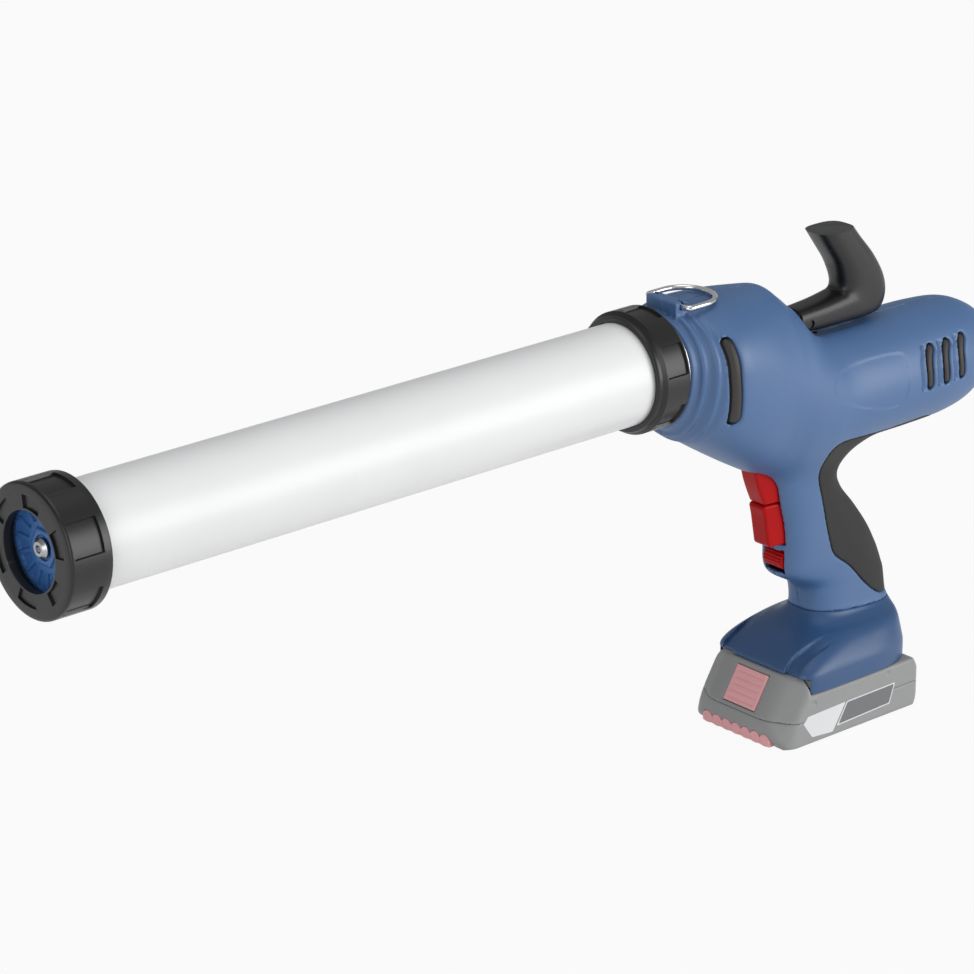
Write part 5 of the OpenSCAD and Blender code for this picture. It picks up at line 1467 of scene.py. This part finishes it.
class CAULK_OT_battery(bpy.types.Operator):
    """Make the battery's case, button, strip and blank labels"""
    bl_idname = "caulk.battery"
    bl_label = "Battery"

    def execute(self, context):
        size = cell(context.scene.caulk_sizes.small_cell)
        grown("battery_cover_skin", battery_cover(size), "battery_grey", "battery_cover")
        grown("battery_tray_skin", battery_tray(size), "battery_grey", "battery_tray")
        grown("button_skin", release_button(cell(0.5)), "pink_red", "battery_button")

        def ridge(x, y, z):
            return ridge_form(x, y, z, 0.0)
        shape = netted(ridge, (463.0, -30.5, -231.5), (472.5, 30.5, -221.5), cell(0.5))
        grown("ridge_skin", shape, "pink_red", "battery_ridge")
        white = [[483.9, -212.8], [513.1, -212.0], [503.4, -227.1], [487.5, -225.8], [480.6, -216.5]]
        outline = [[514.2, -212.0], [552.0, -211.6], [548.0, -223.2], [506.5, -224.6]]
        inner = [[514.6, -212.7], [551.0, -212.3], [547.4, -222.5], [508.0, -223.8]]
        for side, word in ((-1, "left"), (1, "right")):
            for kind, ring, slot, lift in (
                ("block", white, "label_white", 0.14), ("frame", outline, "label_white", 0.12),
                ("field", inner, "label_dark", 0.18),
            ):
                plate = side_plate(rounded(ring, 0.8, 3), side, BATTERY_HALF, lift)
                piece("label_" + kind + "_" + word, plate, material_for(slot), "battery", "battery_grey")
        return {"FINISHED"}


class CAULK_OT_inside(bpy.types.Operator):
    """Give every frame node that still shows its finish"""
    bl_idname = "caulk.inside"
    bl_label = "Finishes of the inner parts"

    def execute(self, context):
        for part in frame["record"]["subparts"]:
            slot = "dark_steel" if part["node"] == "hook_bolt" else part["material_slot"]
            mesh = frame["nodes"][part["node"]].data
            mesh.materials.clear()
            mesh.materials.append(material_for(slot))
        return {"FINISHED"}


class CAULK_OT_stage(bpy.types.Operator):
    """Make the floor, the lamps and the camera"""
    bl_idname = "caulk.stage"
    bl_label = "Stage"

    def execute(self, context):
        scene = context.scene
        ground = bpy.data.meshes.new("floor")
        low = BATTERY_BASE * MM - FLOOR_DROP
        ground.from_pydata([(x, y, low) for x, y in FLOOR_REACH], [], [(0, 1, 2, 3)])
        ground.materials.append(pale_ground())
        floor = bpy.data.objects.new("floor", ground)
        scene.collection.objects.link(floor)
        scene.world = studio_world()
        for name, spot, size, power in LAMPS:
            data = bpy.data.lights.new(name, "AREA")
            data.size = size
            data.energy = power
            lamp = bpy.data.objects.new(name, data)
            lamp.location = spot
            lamp.rotation_euler = (LAMP_AIM - Vector(spot)).to_track_quat("-Z", "Y").to_euler()
            scene.collection.objects.link(lamp)
        view = bpy.data.cameras.new("camera")
        view.sensor_width = SENSOR
        view.lens = FOCAL_PIXELS / PHOTO_SIDE * SENSOR
        view.clip_end = 60.0
        camera = bpy.data.objects.new("camera", view)
        camera.location = CAMERA_PLACE
        camera.rotation_euler = (math.radians(90 - CAMERA_DOWN), 0, math.radians(CAMERA_TURN))
        scene.collection.objects.link(camera)
        scene.camera = camera
        scene.view_settings.view_transform = "Standard"
        return {"FINISHED"}


PIECES = (
    CAULK_OT_housing, CAULK_OT_grips, CAULK_OT_inserts, CAULK_OT_foot, CAULK_OT_barrel, CAULK_OT_socket,
    CAULK_OT_piston, CAULK_OT_hook, CAULK_OT_ring, CAULK_OT_triggers, CAULK_OT_battery, CAULK_OT_inside,
    CAULK_OT_stage,
)


class CAULK_PT_panel(bpy.types.Panel):
    """Lists the pieces of the caulking tool"""
    bl_idname = "CAULK_PT_panel"
    bl_label = "Caulking Tool"
    bl_space_type = "VIEW_3D"
    bl_region_type = "UI"
    bl_category = "Caulking Tool"

    def draw(self, context):
        layout = self.layout
        for group in (context.scene.caulk_sizes, context.scene.caulk_colours):
            for name in group.bl_rna.properties.keys():
                if name not in ("rna_type", "name"):
                    layout.prop(group, name)
        for operator in PIECES:
            layout.operator(operator.bl_idname)


CLASSES = (ToolSizes, ToolColours, *PIECES, CAULK_PT_panel)


def register():
    for cls in CLASSES:
        bpy.utils.register_class(cls)
    bpy.types.Scene.caulk_sizes = PointerProperty(type=ToolSizes)
    bpy.types.Scene.caulk_colours = PointerProperty(type=ToolColours)


def unregister():
    del bpy.types.Scene.caulk_colours
    del bpy.types.Scene.caulk_sizes
    for cls in reversed(CLASSES):
        bpy.utils.unregister_class(cls)


def main():
    """Makes every piece and the stage."""
    register()
    for operator in PIECES:
        group, name = operator.bl_idname.split(".")
        getattr(getattr(bpy.ops, group), name)()


if __name__ == "__main__":
    main()
